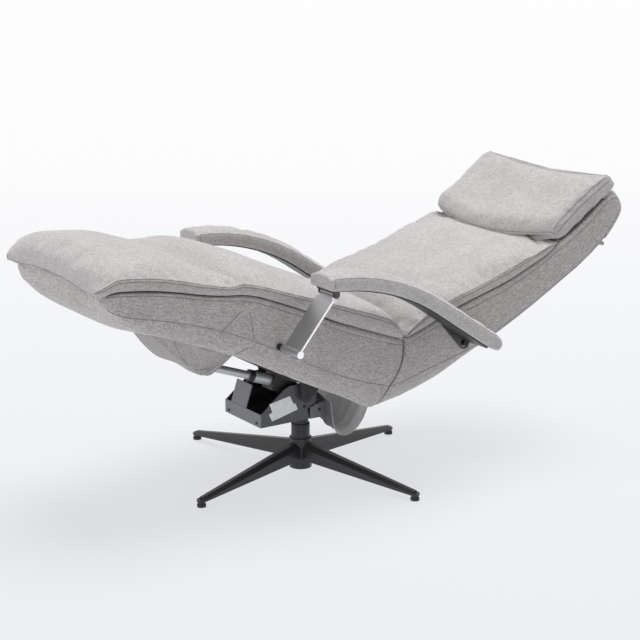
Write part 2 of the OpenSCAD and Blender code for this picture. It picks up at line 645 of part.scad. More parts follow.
// Backrest outline as shares of its length and depth
back_top_shares = [
    [0.177, 0.43], [0.264, 0.455], [0.337, 0.44], [0.407, 0.42], [0.468, 0.42], [0.555, 0.485],
    [0.63, 0.56], [0.69, 0.68], [0.788, 0.82], [0.871, 1.02], [0.938, 1.23], [0.965, 1.2], [0.985, 1.08], [1, 0.82]
];
back_low_shares = [
    [0.997, 0.62], [0.976, 0.5], [0.937, 0.27], [0.85, -0.05], [0.767, -0.25], [0.655, -0.43],
    [0.53, -0.63], [0.407, -0.8], [0.26, -0.885], [0.153, -0.99], [0.069, -0.99], [-0.026, -0.93]
];
back_face_lean = raise_half + seat_slope + back_slope - atan2(hinge_back, hinge_drop);
back_front_low = [tan(back_face_lean) * back_depth * 0.39, back_depth * 0.39];
back_rear_low = turn(seat_rear_low + [2 * seam_gap, 0] - hip, -seat_slope - back_slope);
back_floor_t = 14;
rear_bolt = [184, -46];
module back_shell() color(fabric_side) on_back() difference() {
    tray(
        concat([[seam_gap, 0], back_front_low + [seam_gap, 0]],
            of_size(back_top_shares, back_len, back_depth)),
        concat([back_rear_low], back_to_front(of_size(back_low_shares, back_len, back_depth))),
        back_floor_t, [-back_len, back_len * 0.93]
    );
    at(rear_bolt) rod_x(arm_pin_r + fit, body_w + 2 * cut);
}
back_cushion_share = 0.69;
back_pad_base = [[0, 0.41], [0.2, 0.44], [0.38, 0.455], [0.55, 0.43], [0.68, 0.42], [0.8, 0.49],
    [0.9, 0.56], [1, 0.67]];
back_pad_edge = [[0, 0.3], [0.06, 0.8], [0.12, 1], [0.25, 1], [0.5, 0.9], [0.75, 0.95], [0.9, 0.75],
    [0.97, 0.4], [1, 0.16]];
back_dome = [[0, 0], [0.12, 0.2], [0.25, 0.9], [0.4, 1], [0.8, 0.8], [0.95, 0.3], [1, 0.1]];
back_pad_in = 6;
back_pad_low = back_front_low.x + back_pad_in;
function back_station(u) =
    let (
        t = back_pad_t * lookup(u, back_pad_edge),
        slope = atan2(
            back_depth * (lookup(min(u + 0.05, 1), back_pad_base) - lookup(max(u - 0.05, 0),
                back_pad_base)),
            back_len * back_cushion_share * (min(u + 0.05, 1) - max(u - 0.05, 0))
        )
    )
    [back_pad_low + (back_len * back_cushion_share - back_pad_low) * u,
     touch * 3 + back_depth * lookup(u, back_pad_base) + t / 2, slope,
     half_w * lookup(u, pad_sides), t / 2, t / 2, crown_h * lookup(u, back_dome)];
module back_cushion() color(fabric_top) on_back()
    padded([for (i = [0:pad_n]) back_station(i / pad_n)]);
bolt_head_r = 6.5;
bolt_head_t = 4;
bolt_play = 1;
rear_lug_t = 3;
rear_lug_x = half_w + 2 * touch + rear_lug_t / 2;
bolt_end = rear_lug_x + rear_lug_t / 2 + bolt_play + bolt_head_t;
module rear_arm_bolts() color(black) on_back() both_sides() at(rear_bolt) {
    rod_x(arm_pin_r, bolt_end - shell_inner_w / 2, (bolt_end + shell_inner_w / 2) / 2);
    rod_x(bolt_head_r, bolt_head_t, bolt_end - bolt_head_t / 2);
    rod_x(spacer_r, half_w - body_w / 2 - 2 * touch, (half_w + body_w / 2) / 2);
}

// Soft pieces that fold with the joints. A profile runs towards the back
function from_foot(p) = knee + turn(p, seat_slope - foot_slope);
function from_back(p) = hip + turn(p, seat_slope + back_slope);
function unit(v) = v / norm(v);
function quarter(v) = [-v.y, v.x];
function normal_at(path, i) = quarter(unit(path[min(i + 1, len(path) - 1)] - path[max(i - 1, 0)]));
gusset_t = 12;
gusset_x = (body_w - gusset_t) / 2;
module knee_gussets() color(fabric_side) on_seat() both_sides() across(gusset_t, gusset_x) polygon([
    knee + [seam_gap - touch, 0], seat_front_low - [touch, 0], from_foot(foot_rear_low) + [touch, 0],
    from_foot([touch - 2 * seam_gap, 0])
]);
module back_gussets() color(fabric_side) on_seat() both_sides() across(gusset_t, gusset_x) polygon([
    hip - [seam_gap - touch, 0], seat_rear_top - [seam_gap - touch, 0],
        from_back(back_front_low + [seam_gap - touch, 0]),
    from_back([seam_gap - touch, 0])
]);
cloth_t = 4;
cloth_n = 32;
fold_shift = 35;
module hung_cloth(profile, w, folds, fold_h) {
    m = len(profile);
    layer = (cloth_n + 1) * m;
    function hang(i, j) = fold_h * sin(360 * folds * i / cloth_n + fold_shift * j) * sin(180 * j / (m - 1));
    function cloth_point(i, j, lift) =
        let (p = profile[j] + normal_at(profile, j) * (hang(i, j) + lift))
        [w * (i / cloth_n - 1 / 2), p.x, p.y];
    points = [for (lift = [0, cloth_t]) for (i = [0:cloth_n]) for (j = [0:m - 1]) cloth_point(i, j, lift)];
    faces = concat(
        [for (i = [0:cloth_n - 1]) for (j = [0:m - 2]) let (a = i * m + j)
            each [[a, a + m, a + m + 1], [a, a + m + 1, a + 1]]],
        [for (i = [0:cloth_n - 1]) for (j = [0:m - 2]) let (a = layer + i * m + j)
            each [[a, a + m + 1, a + m], [a, a + 1, a + m + 1]]],
        [for (j = [0:m - 2]) let (a = j, b = layer + j) each [[a, a + 1, b + 1], [a, b + 1, b]]],
        [for (j = [0:m - 2]) let (a = cloth_n * m + j, b = layer + a)
            each [[a + 1, a, b], [a + 1, b, b + 1]]],
        [for (i = [0:cloth_n - 1]) let (a = i * m, b = layer + a) each [[a + m, a, b], [a + m, b, b + m]]],
        [for (i = [0:cloth_n - 1]) let (a = i * m + m - 1, b = layer + a)
            each [[a, a + m, b + m], [a, b + m, b]]]
    );
    polyhedron(points = points, faces = faces);
}
pouch_len = 270;
pouch_drop = 203;
pouch_folds = 5;
pouch_fold_h = 7;
pouch_w = body_w - 2 * gusset_t - 2 * touch;
pouch_shares = [
    [-0.575, -0.655], [-0.46, -0.79], [-0.31, -0.91], [-0.15, -0.945], [0.01, -0.94], [0.1, -0.97],
    [0.17, -1], [0.25, -0.93], [0.31, -0.81], [0.36, -0.725], [0.425, -0.695]
];
module knee_pouch() color(fabric_side) on_seat() difference() {
    hung_cloth(moved(of_size(pouch_shares, pouch_len, pouch_drop), knee), pouch_w, pouch_folds,
        pouch_fold_h);
    translate([foot_drive_x - notch_w / 2, foot_rod_tip.x - notch_w, drive_z - pouch_drop])
        cube([notch_w, pouch_len, 2 * pouch_drop]);
}
sling_span = 88;
sling_drop = 124;
sling_w = 270;
sling_folds = 3;
sling_fold_h = 5;
sling_shares = [
    [-0.27, -0.035], [-0.27, -0.2], [-0.26, -0.5], [-0.22, -0.78], [-0.1, -0.95], [0.11, -0.99],
    [0.3, -0.8], [0.42, -0.5], [0.48, -0.2], [0.52, -0.035]
];
module tail_sling() color(light_grey) on_seat() at(seat_rear_low) rotate([seat_slope, 0, 0])
    hung_cloth(of_size(sling_shares, sling_span, sling_drop), sling_w, sling_folds, sling_fold_h);

// Head pillow
pillow_w = 500;
pillow_slope = 16.5;
pillow_bearing = of_size([back_top_shares[10]], back_len, back_depth)[0];
pillow_from = back_len * 0.985 - pillow_len * cos(pillow_slope);
pillow_foot = [pillow_from, pillow_bearing.y + touch + pillow_t / 2 / cos(pillow_slope)
    - tan(pillow_slope) * (pillow_bearing.x - pillow_from)];
pillow_edge = [[0, 0.35], [0.04, 0.7], [0.12, 0.95], [0.5, 1], [0.88, 0.95], [0.96, 0.7], [1, 0.35]];
pillow_sides = [[0, 0.95], [0.04, 0.985], [0.5, 0.97], [0.96, 1], [1, 0.965]];
function pillow_station(u) =
    let (t = pillow_t * lookup(u, pillow_edge))
    [pillow_foot.x + pillow_len * cos(pillow_slope) * u, pillow_foot.y + pillow_len * sin(pillow_slope) * u,
     pillow_slope, pillow_w / 2 * lookup(u, pillow_sides), t / 2, t / 2,
     -pillow_sag * lookup(u, pillow_edge)];
module head_pillow() color(fabric_top) on_back()
    padded([for (i = [0:pad_n]) pillow_station(i / pad_n)]);
flap_t = 3;
flap_w = 480;
flap_shares = [
    [0.983, 1.73], [0.9882, 1.585], [0.9915, 1.36], [0.991, 1.09], [1.002, 0.822], [0.999, 0.61],
    [0.977, 0.487], [0.938, 0.257], [0.905, 0.12]
];
hem_at = [back_len * 0.893, back_depth * 0.01];
hem_r = 8;
weight_r = 5;
module pillow_flap() color(fabric_side) on_back() difference() {
    union() {
        across(flap_w) polygon(let (path = of_size(flap_shares, back_len, back_depth)) concat(
            path, back_to_front([for (i = [0:len(path) - 1]) path[i] + flap_t * normal_at(path, i)])
        ));
        at(hem_at) rod_x(hem_r, flap_w);
    }
    at(hem_at) rod_x(weight_r + fit, flap_w + 2 * cut);
}
module pillow_weight() color(steel) on_back() at(hem_at) rod_x(weight_r, flap_w);

// Armrests
barrel_r = 7;
barrel_wall = 1;
pivot_r = 4;
arm_lug_w = 6;
arm_rail_t = 5;
cap_w = 5;
barrel_w = bar_w - 2 * arm_lug_w - 2 * touch;
module arm_link(s) color(steel) on_link() on_side(s) difference() {
    union() {
        translate([bar_x0, -bar_t / 2, 0]) cube([bar_w, bar_t, link_len - 2 * barrel_r]);
        translate([arm_x - barrel_w / 2, -bar_t / 2, 0]) cube([barrel_w, bar_t, link_len]);
        rod_x(link_rod_r, bar_w + cap_w, arm_x + cap_w / 2);
        translate([0, 0, link_len]) rod_x(barrel_r, barrel_w, arm_x);
    }
    rod_x(arm_pin_r + fit, bar_w + 2 * cut, bar_x0);
    translate([0, 0, link_len]) rod_x(pivot_r + fit, bar_w, arm_x);
}
arm_lift = barrel_r + seam_gap + arm_rail_t + touch;
arm_front = 24;
bow_len = arm_bow_r * arm_bow_turn * PI / 180;
bow_end = [arm_bow_r * sin(arm_bow_turn) - arm_front, arm_lift - arm_bow_r * (1 - cos(arm_bow_turn))];
tail_way = [cos(arm_bow_turn), -sin(arm_bow_turn)];
function arm_slope(s) = -min(s / arm_bow_r * 180 / PI, arm_bow_turn);
function arm_path(s, lift) =
    let (a = -arm_slope(s))
    (s < bow_len ? [arm_bow_r * sin(a) - arm_front,
        arm_lift - arm_bow_r * (1 - cos(a))] : bow_end + (s - bow_len) * tail_way)
    + lift * [sin(a), cos(a)];
arm_pad_low = 12;
arm_edge = [[0, 0.62], [0.6, 0.68], [1, 0.78]];
arm_ends = [[0, 0.84], [0.012, 0.96], [0.03, 1], [0.94, 1], [0.97, 0.93], [0.99, 0.72], [1, 0.45]];
arm_sides = [[0, 0.92], [0.015, 0.99], [0.03, 1], [0.93, 1], [0.97, 0.97], [1, 0.86]];
arm_n = 26;
arm_ring_n = 24;
function arm_station(u) =
    let (s = (bow_len + arm_tail) * u, p = arm_path(s, arm_pad_low), e = lookup(u, arm_ends))
    [p.x, p.y, arm_slope(s), arm_w / 2 * lookup(u, arm_sides), arm_pad_low * e,
     (arm_pad_t * lookup(u, arm_edge) - arm_pad_low) * e, arm_pad_t * (1 - lookup(u, arm_edge)) * e];
arm_end_share = 0.013;
function arm_share(i) =
    i < 2 ? i * arm_end_share
    : i > arm_n - 2 ? 1 - (arm_n - i) * arm_end_share
    : 2 * arm_end_share + (i - 2) * (1 - 4 * arm_end_share) / (arm_n - 4);
module arm_pad(s) color(fabric_top) on_arm() on_side(s) translate([arm_x, 0, 0])
    padded([for (i = [0:arm_n]) arm_station(arm_share(i))], arm_ring_n);
rail_n = 14;
rail_end = 190;
rear_eye = turn(hip - arm_foot, -seat_slope) + turn(rear_bolt, back_slope)
    - link_len * [sin(seat_slope + link_lean), cos(seat_slope + link_lean)];
eye_slot_r = 11.5;
eye_lug_r = 16;
tab_from = 96;
tab_to = 140;
function rail_line(lift) = [for (i = [0:rail_n])
    arm_path(arm_front / 2 + (bow_len + rail_end - arm_front / 2) * i / rail_n, lift)];
module arm_rail(s) color(steel) on_arm() on_side(s) difference() {
    union() {
        across(bar_w, arm_x) polygon(concat(rail_line(-touch),
            back_to_front(rail_line(-touch - arm_rail_t))));
        for (side = [-1, 1]) across(arm_lug_w, arm_x + side * (bar_w - arm_lug_w) / 2) union() {
            circle(r = barrel_r + barrel_wall);
            translate([-barrel_r - barrel_wall, 0])
                square([2 * (barrel_r + barrel_wall), arm_lift - touch - arm_rail_t / 2]);
        }
        rod_x(pivot_r, bar_w, arm_x);
        across(bar_x0 - rear_lug_x + rear_lug_t / 2 + cut, (bar_x0 + rear_lug_x - rear_lug_t / 2 + cut) / 2)
            polygon([
            arm_path(bow_len + tab_from, -touch), arm_path(bow_len + tab_to, -touch),
            arm_path(bow_len + tab_to, -touch - arm_rail_t),
                arm_path(bow_len + tab_from, -touch - arm_rail_t)
        ]);
        across(rear_lug_t, rear_lug_x) hull() {
            polygon([
                arm_path(bow_len + tab_from, -touch), arm_path(bow_len + tab_to, -touch),
                arm_path(bow_len + tab_to, -touch - arm_rail_t),
                    arm_path(bow_len + tab_from, -touch - arm_rail_t)
            ]);
            translate(rear_eye) circle(r = eye_lug_r);
        }
    }
    at(rear_eye) rod_x(eye_slot_r, 2 * (bar_x0 - rear_lug_x) - rear_lug_t, rear_lug_x);
}

star_base();
glides();
hub_plug();
column_tube();
column_bush();
spindle();
swivel_plate();
side_plates();
front_plate();
bracket_plates();
tilt_motor();
housing_screws();
tilt_shaft();
tilt_brackets();
mount_plate();
seat_rails();
seat_webbing();
seat_side(1);  // seat_side_left
seat_side(-1);  // seat_side_right
seat_dust_cover();
seat_cushion();
foot_hinge_pins();
back_hinge_pins();
arm_pivots();
foot_motor();
foot_tube();
foot_collar();
back_motor();
foot_rod();
foot_drive_arm();
back_rod();
back_drive_plate();
foot_arms();
foot_cross_tubes();
foot_lug();
foot_webbing();
foot_shell();
foot_cushion();
back_rails();
back_cross_tubes();
back_lug();
back_webbing();
back_shell();
back_cushion();
rear_arm_bolts();
knee_gussets();
knee_pouch();
back_gussets();
tail_sling();
head_pillow();
pillow_flap();
pillow_weight();
arm_link(1);  // arm_link_left
arm_link(-1);  // arm_link_right
arm_pad(1);  // arm_pad_left
arm_pad(-1);  // arm_pad_right
arm_rail(1);  // arm_rail_left
arm_rail(-1);  // arm_rail_right
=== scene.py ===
"""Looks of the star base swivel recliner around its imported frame.

Lengths are in millimetres and turn into metres where a mesh is made. Side views are written as (y, z) in
the local frame of the seat, the footrest or the backrest. seat(), foot() and back() turn them into the
shared frame.
"""
import json
import math

import bmesh
import bpy
import numpy as np
from mathutils import Matrix, Vector, noise
from mathutils.bvhtree import BVHTree


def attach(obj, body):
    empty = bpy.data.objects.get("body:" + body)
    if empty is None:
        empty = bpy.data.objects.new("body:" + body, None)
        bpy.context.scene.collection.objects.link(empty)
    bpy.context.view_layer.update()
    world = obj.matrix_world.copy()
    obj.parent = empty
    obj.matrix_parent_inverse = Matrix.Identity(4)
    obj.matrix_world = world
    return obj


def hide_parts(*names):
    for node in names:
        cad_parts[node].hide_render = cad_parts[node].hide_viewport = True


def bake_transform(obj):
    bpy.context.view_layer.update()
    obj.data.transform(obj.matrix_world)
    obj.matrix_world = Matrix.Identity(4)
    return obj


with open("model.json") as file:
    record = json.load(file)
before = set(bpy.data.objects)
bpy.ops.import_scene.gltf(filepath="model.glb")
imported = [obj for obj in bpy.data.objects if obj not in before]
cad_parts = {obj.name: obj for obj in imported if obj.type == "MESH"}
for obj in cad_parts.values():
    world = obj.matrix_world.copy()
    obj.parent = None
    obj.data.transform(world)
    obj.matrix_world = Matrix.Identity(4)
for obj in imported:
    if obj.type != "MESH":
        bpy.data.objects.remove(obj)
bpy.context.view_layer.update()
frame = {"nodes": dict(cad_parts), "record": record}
NODES = frame["nodes"]
MM = 0.001


def placed(name, data):
    """A new object of the scene."""
    obj = bpy.data.objects.new(name, data)
    bpy.context.scene.collection.objects.link(obj)
    return obj


# ---------------------------------------------------------------- camera
CAMERA_PLACE = (3.522, -2.309, 1.476)
SIDE = Vector((0.5580, 0.8298, 0.0))
UP = Vector((-0.2076, 0.1396, 0.9682))
BACK = Vector((0.8034, -0.5403, 0.2502))
cam_data = bpy.data.cameras.new("camera")
cam_data.lens = 98.44
cam_data.sensor_width = 36
cam_data.clip_start, cam_data.clip_end = 0.05, 100
camera = placed("camera", cam_data)
rows = [(SIDE[i], UP[i], BACK[i]) for i in range(3)]
camera.matrix_world = Matrix.Translation(CAMERA_PLACE) @ Matrix(rows).to_4x4()
bpy.context.scene.camera = camera

# ---------------------------------------------------------------- places
SEAT_SLOPE, BACK_SLOPE, FOOT_SLOPE = -19.4, 17.0, -10.0


def turned(p, deg):
    a = math.radians(deg)
    p = np.asarray(p, float)
    return np.stack([p[..., 0] * math.cos(a) - p[..., 1] * math.sin(a),
                     p[..., 0] * math.sin(a) + p[..., 1] * math.cos(a)], -1)


SHAFT = np.array([-45.0, 222.0])
CREASE = SHAFT + turned([122, 206], SEAT_SLOPE)
KNEE = CREASE + turned([-476, -4.6], SEAT_SLOPE)
HIP = CREASE + turned([4, -47], SEAT_SLOPE)
ARM_FOOT = CREASE + turned([-352, -87], SEAT_SLOPE)
LINK_LEAN = math.radians(39.7)
ARM_TOP = ARM_FOOT + 161 * np.array([math.sin(LINK_LEAN), math.cos(LINK_LEAN)])


def seat(p):
    return CREASE + turned(p, SEAT_SLOPE)


def foot(p):
    return KNEE + turned(p, FOOT_SLOPE)


def back(p):
    return HIP + turned(p, BACK_SLOPE)


def smoothstep(t):
    t = np.clip(t, 0, 1)
    return t * t * (3 - 2 * t)


def spread(line, n, shares=None):
    """Points along a polyline of any width, evenly by length or at given shares of it."""
    line = np.asarray(line, float)
    d = np.r_[0, np.cumsum(np.linalg.norm(np.diff(line, axis=0), axis=1))]
    t = (np.linspace(0, 1, n) if shares is None else np.asarray(shares)) * d[-1]
    return np.stack([np.interp(t, d, line[:, k]) for k in range(line.shape[1])], -1)


def rounded(line, rounds=2):
    """A polyline with its corners cut, which keeps both ends."""
    line = np.asarray(line, float)
    for _ in range(rounds):
        a, b = line[:-1], line[1:]
        cut = np.stack([a * 0.75 + b * 0.25, a * 0.25 + b * 0.75], 1).reshape(-1, line.shape[1])
        line = np.vstack([line[:1], cut, line[-1:]])
    return line


# ---------------------------------------------------------------- meshes
def make(name, points, faces, fabric):
    mesh = bpy.data.meshes.new(name)
    mesh.from_pydata([tuple(p) for p in np.asarray(points) * MM], [], faces)
    mesh.update()
    obj = placed(name, mesh)
    mesh.materials.append(fabric)
    return obj


def loft(name, rings, fabric, sheet=False):
    """A closed form through rings of equal count, with a fan over each end, or with a hem if the rings are
    the two faces of a thin sheet."""
    rings = np.asarray(rings, float)
    m, n = rings.shape[:2]
    faces = [(i * n + j, i * n + (j + 1) % n, (i + 1) * n + (j + 1) % n, (i + 1) * n + j)
             for i in range(m - 1) for j in range(n)]
    if sheet:
        for first in (0, (m - 1) * n):
            last = first + n - 1
            faces += [(first + j, first + j + 1, last - 1 - j, last - j) for j in range(n // 2 - 1)]
        return make(name, rings.reshape(-1, 3), faces, fabric)
    faces += [(m * n, (j + 1) % n, j) for j in range(n)]
    faces += [(m * n + 1, (m - 1) * n + j, (m - 1) * n + (j + 1) % n) for j in range(n)]
    points = np.vstack([rings.reshape(-1, 3), rings[0].mean(0)[None], rings[-1].mean(0)[None]])
    return make(name, points, faces, fabric)


def outward(obj):
    """Turns all faces outward, whichever way the rings ran."""
    bm = bmesh.new()
    bm.from_mesh(obj.data)
    bmesh.ops.recalc_face_normals(bm, faces=bm.faces)
    bm.to_mesh(obj.data)
    bm.free()
    obj.data.update()


def coords(obj):
    co = np.empty(len(obj.data.vertices) * 3)
    obj.data.vertices.foreach_get("co", co)
    return co.reshape(-1, 3)


def normals(obj):
    return np.array([v.normal[:] for v in obj.data.vertices], float)


def set_coords(obj, co):
    obj.data.vertices.foreach_set("co", np.asarray(co, float).ravel())
    obj.data.update()


def padded_to(obj, values):
    """Values for the ring points, with zeros for the two fan centres."""
    out = np.zeros(len(obj.data.vertices))
    out[: len(values)] = values
    return out


def sink(obj, share, depth):
    set_coords(obj, coords(obj) - normals(obj) * (padded_to(obj, share) * depth * MM)[:, None])


def swell(obj, height, scale, seed, keep, stretch=(1, 1, 1)):
    """Moves points along their normals by soft noise. Height and scale are in millimetres."""
    co, no = coords(obj), normals(obj)
    s = np.array(stretch) / (scale * MM)
    d = np.array([noise.noise(Vector(c * s + (seed, -seed, 2 * seed))) for c in co])
    set_coords(obj, co + no * (d * padded_to(obj, keep) * height * MM)[:, None])


RIDGE_STEPS = 40


def ridge(obj, line, height, width, above=True):
    """A soft ridge (or a dent, below zero) along a line of (x, y, z), measured from above on the faces that
    look up, or else in space. It fades at both ends."""
    co, no = coords(obj), normals(obj)
    axes = 2 if above else 3
    line = spread(np.asarray(line, float) * MM, RIDGE_STEPS)
    gap = np.linalg.norm(co[:, None, :axes] - line[None, :, :axes], axis=2)
    near, d = np.argmin(gap, axis=1), np.min(gap, axis=1) / MM
    fade = np.sin(np.pi * np.clip(near / (RIDGE_STEPS - 1), 0.03, 0.97)) ** 0.7
    if above:
        fade = fade * np.clip((no[:, 2] - 0.2) / 0.2, 0, 1)
    set_coords(obj, co + no * (height * np.exp(-((d / width) ** 2)) * fade * MM)[:, None])


PUFF_PRESSURE, PUFF_FRAMES = 4.0, 18


def inflate(obj, free, cap):
    """Blows up the free points of a pad with cloth and keeps the result. A point moves by cap at most, and
    free has a share from 0 to 1 per point."""
    start = coords(obj)
    free = padded_to(obj, free)
    group = obj.vertex_groups.new(name="held")
    for i, f in enumerate(free):
        if f < 0.999:
            group.add([i], 1.0 - float(f), "REPLACE")
    mod = obj.modifiers.new("puff", "CLOTH")
    s = mod.settings
    s.quality = 4
    s.mass = 0.25
    s.tension_stiffness = s.compression_stiffness = 12
    s.shear_stiffness = 6
    s.bending_stiffness = 0.6
    s.shrink_min = -0.03
    s.use_pressure = True
    s.uniform_pressure_force = PUFF_PRESSURE
    s.vertex_group_mass = "held"
    s.effector_weights.gravity = 0
    mod.collision_settings.use_collision = False
    mod.collision_settings.use_self_collision = False
    mod.point_cache.frame_start, mod.point_cache.frame_end = 1, PUFF_FRAMES
    scene = bpy.context.scene
    for f in range(1, PUFF_FRAMES + 1):
        scene.frame_set(f)
    blown = obj.evaluated_get(bpy.context.evaluated_depsgraph_get())
    co = np.empty(len(blown.data.vertices) * 3)
    blown.data.vertices.foreach_get("co", co)
    obj.modifiers.remove(mod)
    obj.vertex_groups.remove(group)
    scene.frame_set(1)
    move = co.reshape(-1, 3) - start
    size = np.linalg.norm(move, axis=1)
    set_coords(obj, start + move * np.minimum(1, cap * MM / np.maximum(size, 1e-9))[:, None])


def refine(obj):
    """One subdivision, applied. The first points keep their order."""
    mod = obj.modifiers.new("finer", "SUBSURF")
    mod.levels = mod.render_levels = 1
    fine = bpy.data.meshes.new_from_object(obj.evaluated_get(bpy.context.evaluated_depsgraph_get()))
    obj.modifiers.clear()
    old, obj.data = obj.data, fine
    fine.name = old.name
    bpy.data.meshes.remove(old)
    fine.shade_smooth()


TUBE_SIDES = 5
# Material slots of the dark seam lines, which are painted shade for the seams' grooves, and of the cushion
# border.
SEAM_SHADE_AT, BORDER_AT = 1, 2


def tube(bm, path, up, radius):
    """A thin five-sided line along a path of points in metres, set half into the surface. Its dark colour is
    painted shade for the seam's groove.
    """
    path, up = np.asarray(path), np.asarray(up)
    step = np.gradient(path, axis=0)
    step /= np.maximum(np.linalg.norm(step, axis=1), 1e-9)[:, None]
    across = np.cross(step, up)
    across /= np.maximum(np.linalg.norm(across, axis=1), 1e-9)[:, None]
    turns = np.arange(TUBE_SIDES) * 2 * math.pi / TUBE_SIDES
    rows_of = []
    for p, u, a in zip(path, up, across):
        ring = [p + radius * MM * (math.cos(t) * a + math.sin(t) * u) for t in turns]
        rows_of.append([bm.verts.new(q) for q in ring])
    for r0, r1 in zip(rows_of[:-1], rows_of[1:]):
        for j in range(TUBE_SIDES):
            after = (j + 1) % TUBE_SIDES
            face = bm.faces.new((r0[j], r0[after], r1[after], r1[j]))
            face.material_index, face.smooth = SEAM_SHADE_AT, True
    for end in (rows_of[0][::-1], rows_of[-1]):
        bm.faces.new(end).material_index = SEAM_SHADE_AT


DENSER = 4
LIFT = 0.1


def dense(path, up):
    """A path and its normals, smoothed into more points."""
    n = len(path)
    t = np.linspace(0, n - 1, (n - 1) * DENSER + 1)
    i = np.clip(t.astype(int), 0, n - 2)
    f = (t - i)[:, None]
    p0, p1, p2, p3 = (path[np.clip(i + k, 0, n - 1)] for k in (-1, 0, 1, 2))
    curve = 0.5 * (2 * p1 + (p2 - p0) * f + (2 * p0 - 5 * p1 + 4 * p2 - p3) * f ** 2
                   + (3 * p1 - p0 - 3 * p2 + p3) * f ** 3)
    return curve, up[i] * (1 - f) + up[np.clip(i + 1, 0, n - 1)] * f


def stitch(obj, paths, radius=0.8):
    """Sews seam lines onto a finished mesh, as thin dark tubes whose colour is painted shade for the seams'
    grooves. A path is a list of point numbers, or (points, normals) on the surface."""
    co, no = coords(obj), normals(obj)
    if len(obj.data.materials) < 2:
        obj.data.materials.append(SEAM_SHADE)
    bm = bmesh.new()
    bm.from_mesh(obj.data)
    for path in paths:
        if isinstance(path, tuple):
            p, u = path
        else:
            p, u = co[path], no[path]
        p, u = dense(np.asarray(p), np.asarray(u))
        tube(bm, p + u * LIFT * MM, u, radius)
    bm.to_mesh(obj.data)
    bm.free()


DRAPE_STEP = 7


def draped(obj, line, side):
    """Lays a side-view line, (y, z) in millimetres, on the outer face of a side panel. Gives points and
    normals."""
    tree = BVHTree.FromObject(obj, bpy.context.evaluated_depsgraph_get())
    points, ups = [], []
    length = np.linalg.norm(np.diff(line, axis=0), axis=1).sum()
    for y, z in spread(line, max(6, int(length / DRAPE_STEP))):
        hit = tree.ray_cast(Vector((side * 0.5, y * MM, z * MM)), Vector((-side, 0, 0)))
        if hit[0] is not None:
            points.append(hit[0][:])
            ups.append((side, 0, 0))
    return np.array(points), np.array(ups, float)


def remember_rest(obj, slope=0.0):
    """Keeps each point's place at rest, turned to the piece's own slope, so that the weave doesn't swim in
    a pose."""
    co = coords(obj)
    yz = turned(co[:, 1:], -slope)
    rest = np.c_[co[:, 0], yz]
    a = obj.data.attributes.new("rest", "FLOAT_VECTOR", "POINT")
    a.data.foreach_set("vector", rest.astype(np.float32).ravel())


def settle(obj, slope=0.0):
    """Refines a form and keeps its points' places at rest."""
    refine(obj)
    remember_rest(obj, slope)


# ---------------------------------------------------------------- materials
def material(name):
    m = bpy.data.materials.new(name)
    m.use_nodes = True
    nt = m.node_tree
    return m, nt, nt.nodes["Principled BSDF"]


def node(nt, kind, **values):
    n = nt.nodes.new(kind)
    for k, v in values.items():
        if k in n.inputs:
            n.inputs[k].default_value = v
        else:
            setattr(n, k, v)
    return n


def scaled(nt, source, scale):
    m = node(nt, "ShaderNodeVectorMath", operation="MULTIPLY")
    m.inputs[1].default_value = scale
    nt.links.new(source, m.inputs[0])
    return m.outputs[0]


def mixed(nt, fac, a, b, blend="MIX"):
    """A colour mix. Each value is a socket, or a constant."""
    m = nt.nodes.new("ShaderNodeMix")
    m.data_type, m.blend_type = "RGBA", blend
    for i, value in ((0, fac), (6, a), (7, b)):
        if hasattr(value, "is_output"):
            nt.links.new(value, m.inputs[i])
        else:
            m.inputs[i].default_value = value if i == 0 else (*value, 1)
    return m.outputs[2]


def ramp(nt, fac, low, high):
    """A grey ramp between two (position, tone) stops."""
    r = nt.nodes.new("ShaderNodeValToRGB")
    for element, (position, tone) in zip(r.color_ramp.elements, (low, high)):
        element.position, element.color = position, (tone, tone, tone, 1)
    nt.links.new(fac, r.inputs[0])
    return r.outputs[0]


def noise_of(nt, source, scale, detail=3.0, rough=0.6):
    n = node(nt, "ShaderNodeTexNoise", Scale=1.0, Detail=detail, Roughness=rough)
    nt.links.new(scaled(nt, source, scale), n.inputs["Vector"])
    return n.outputs["Fac"]


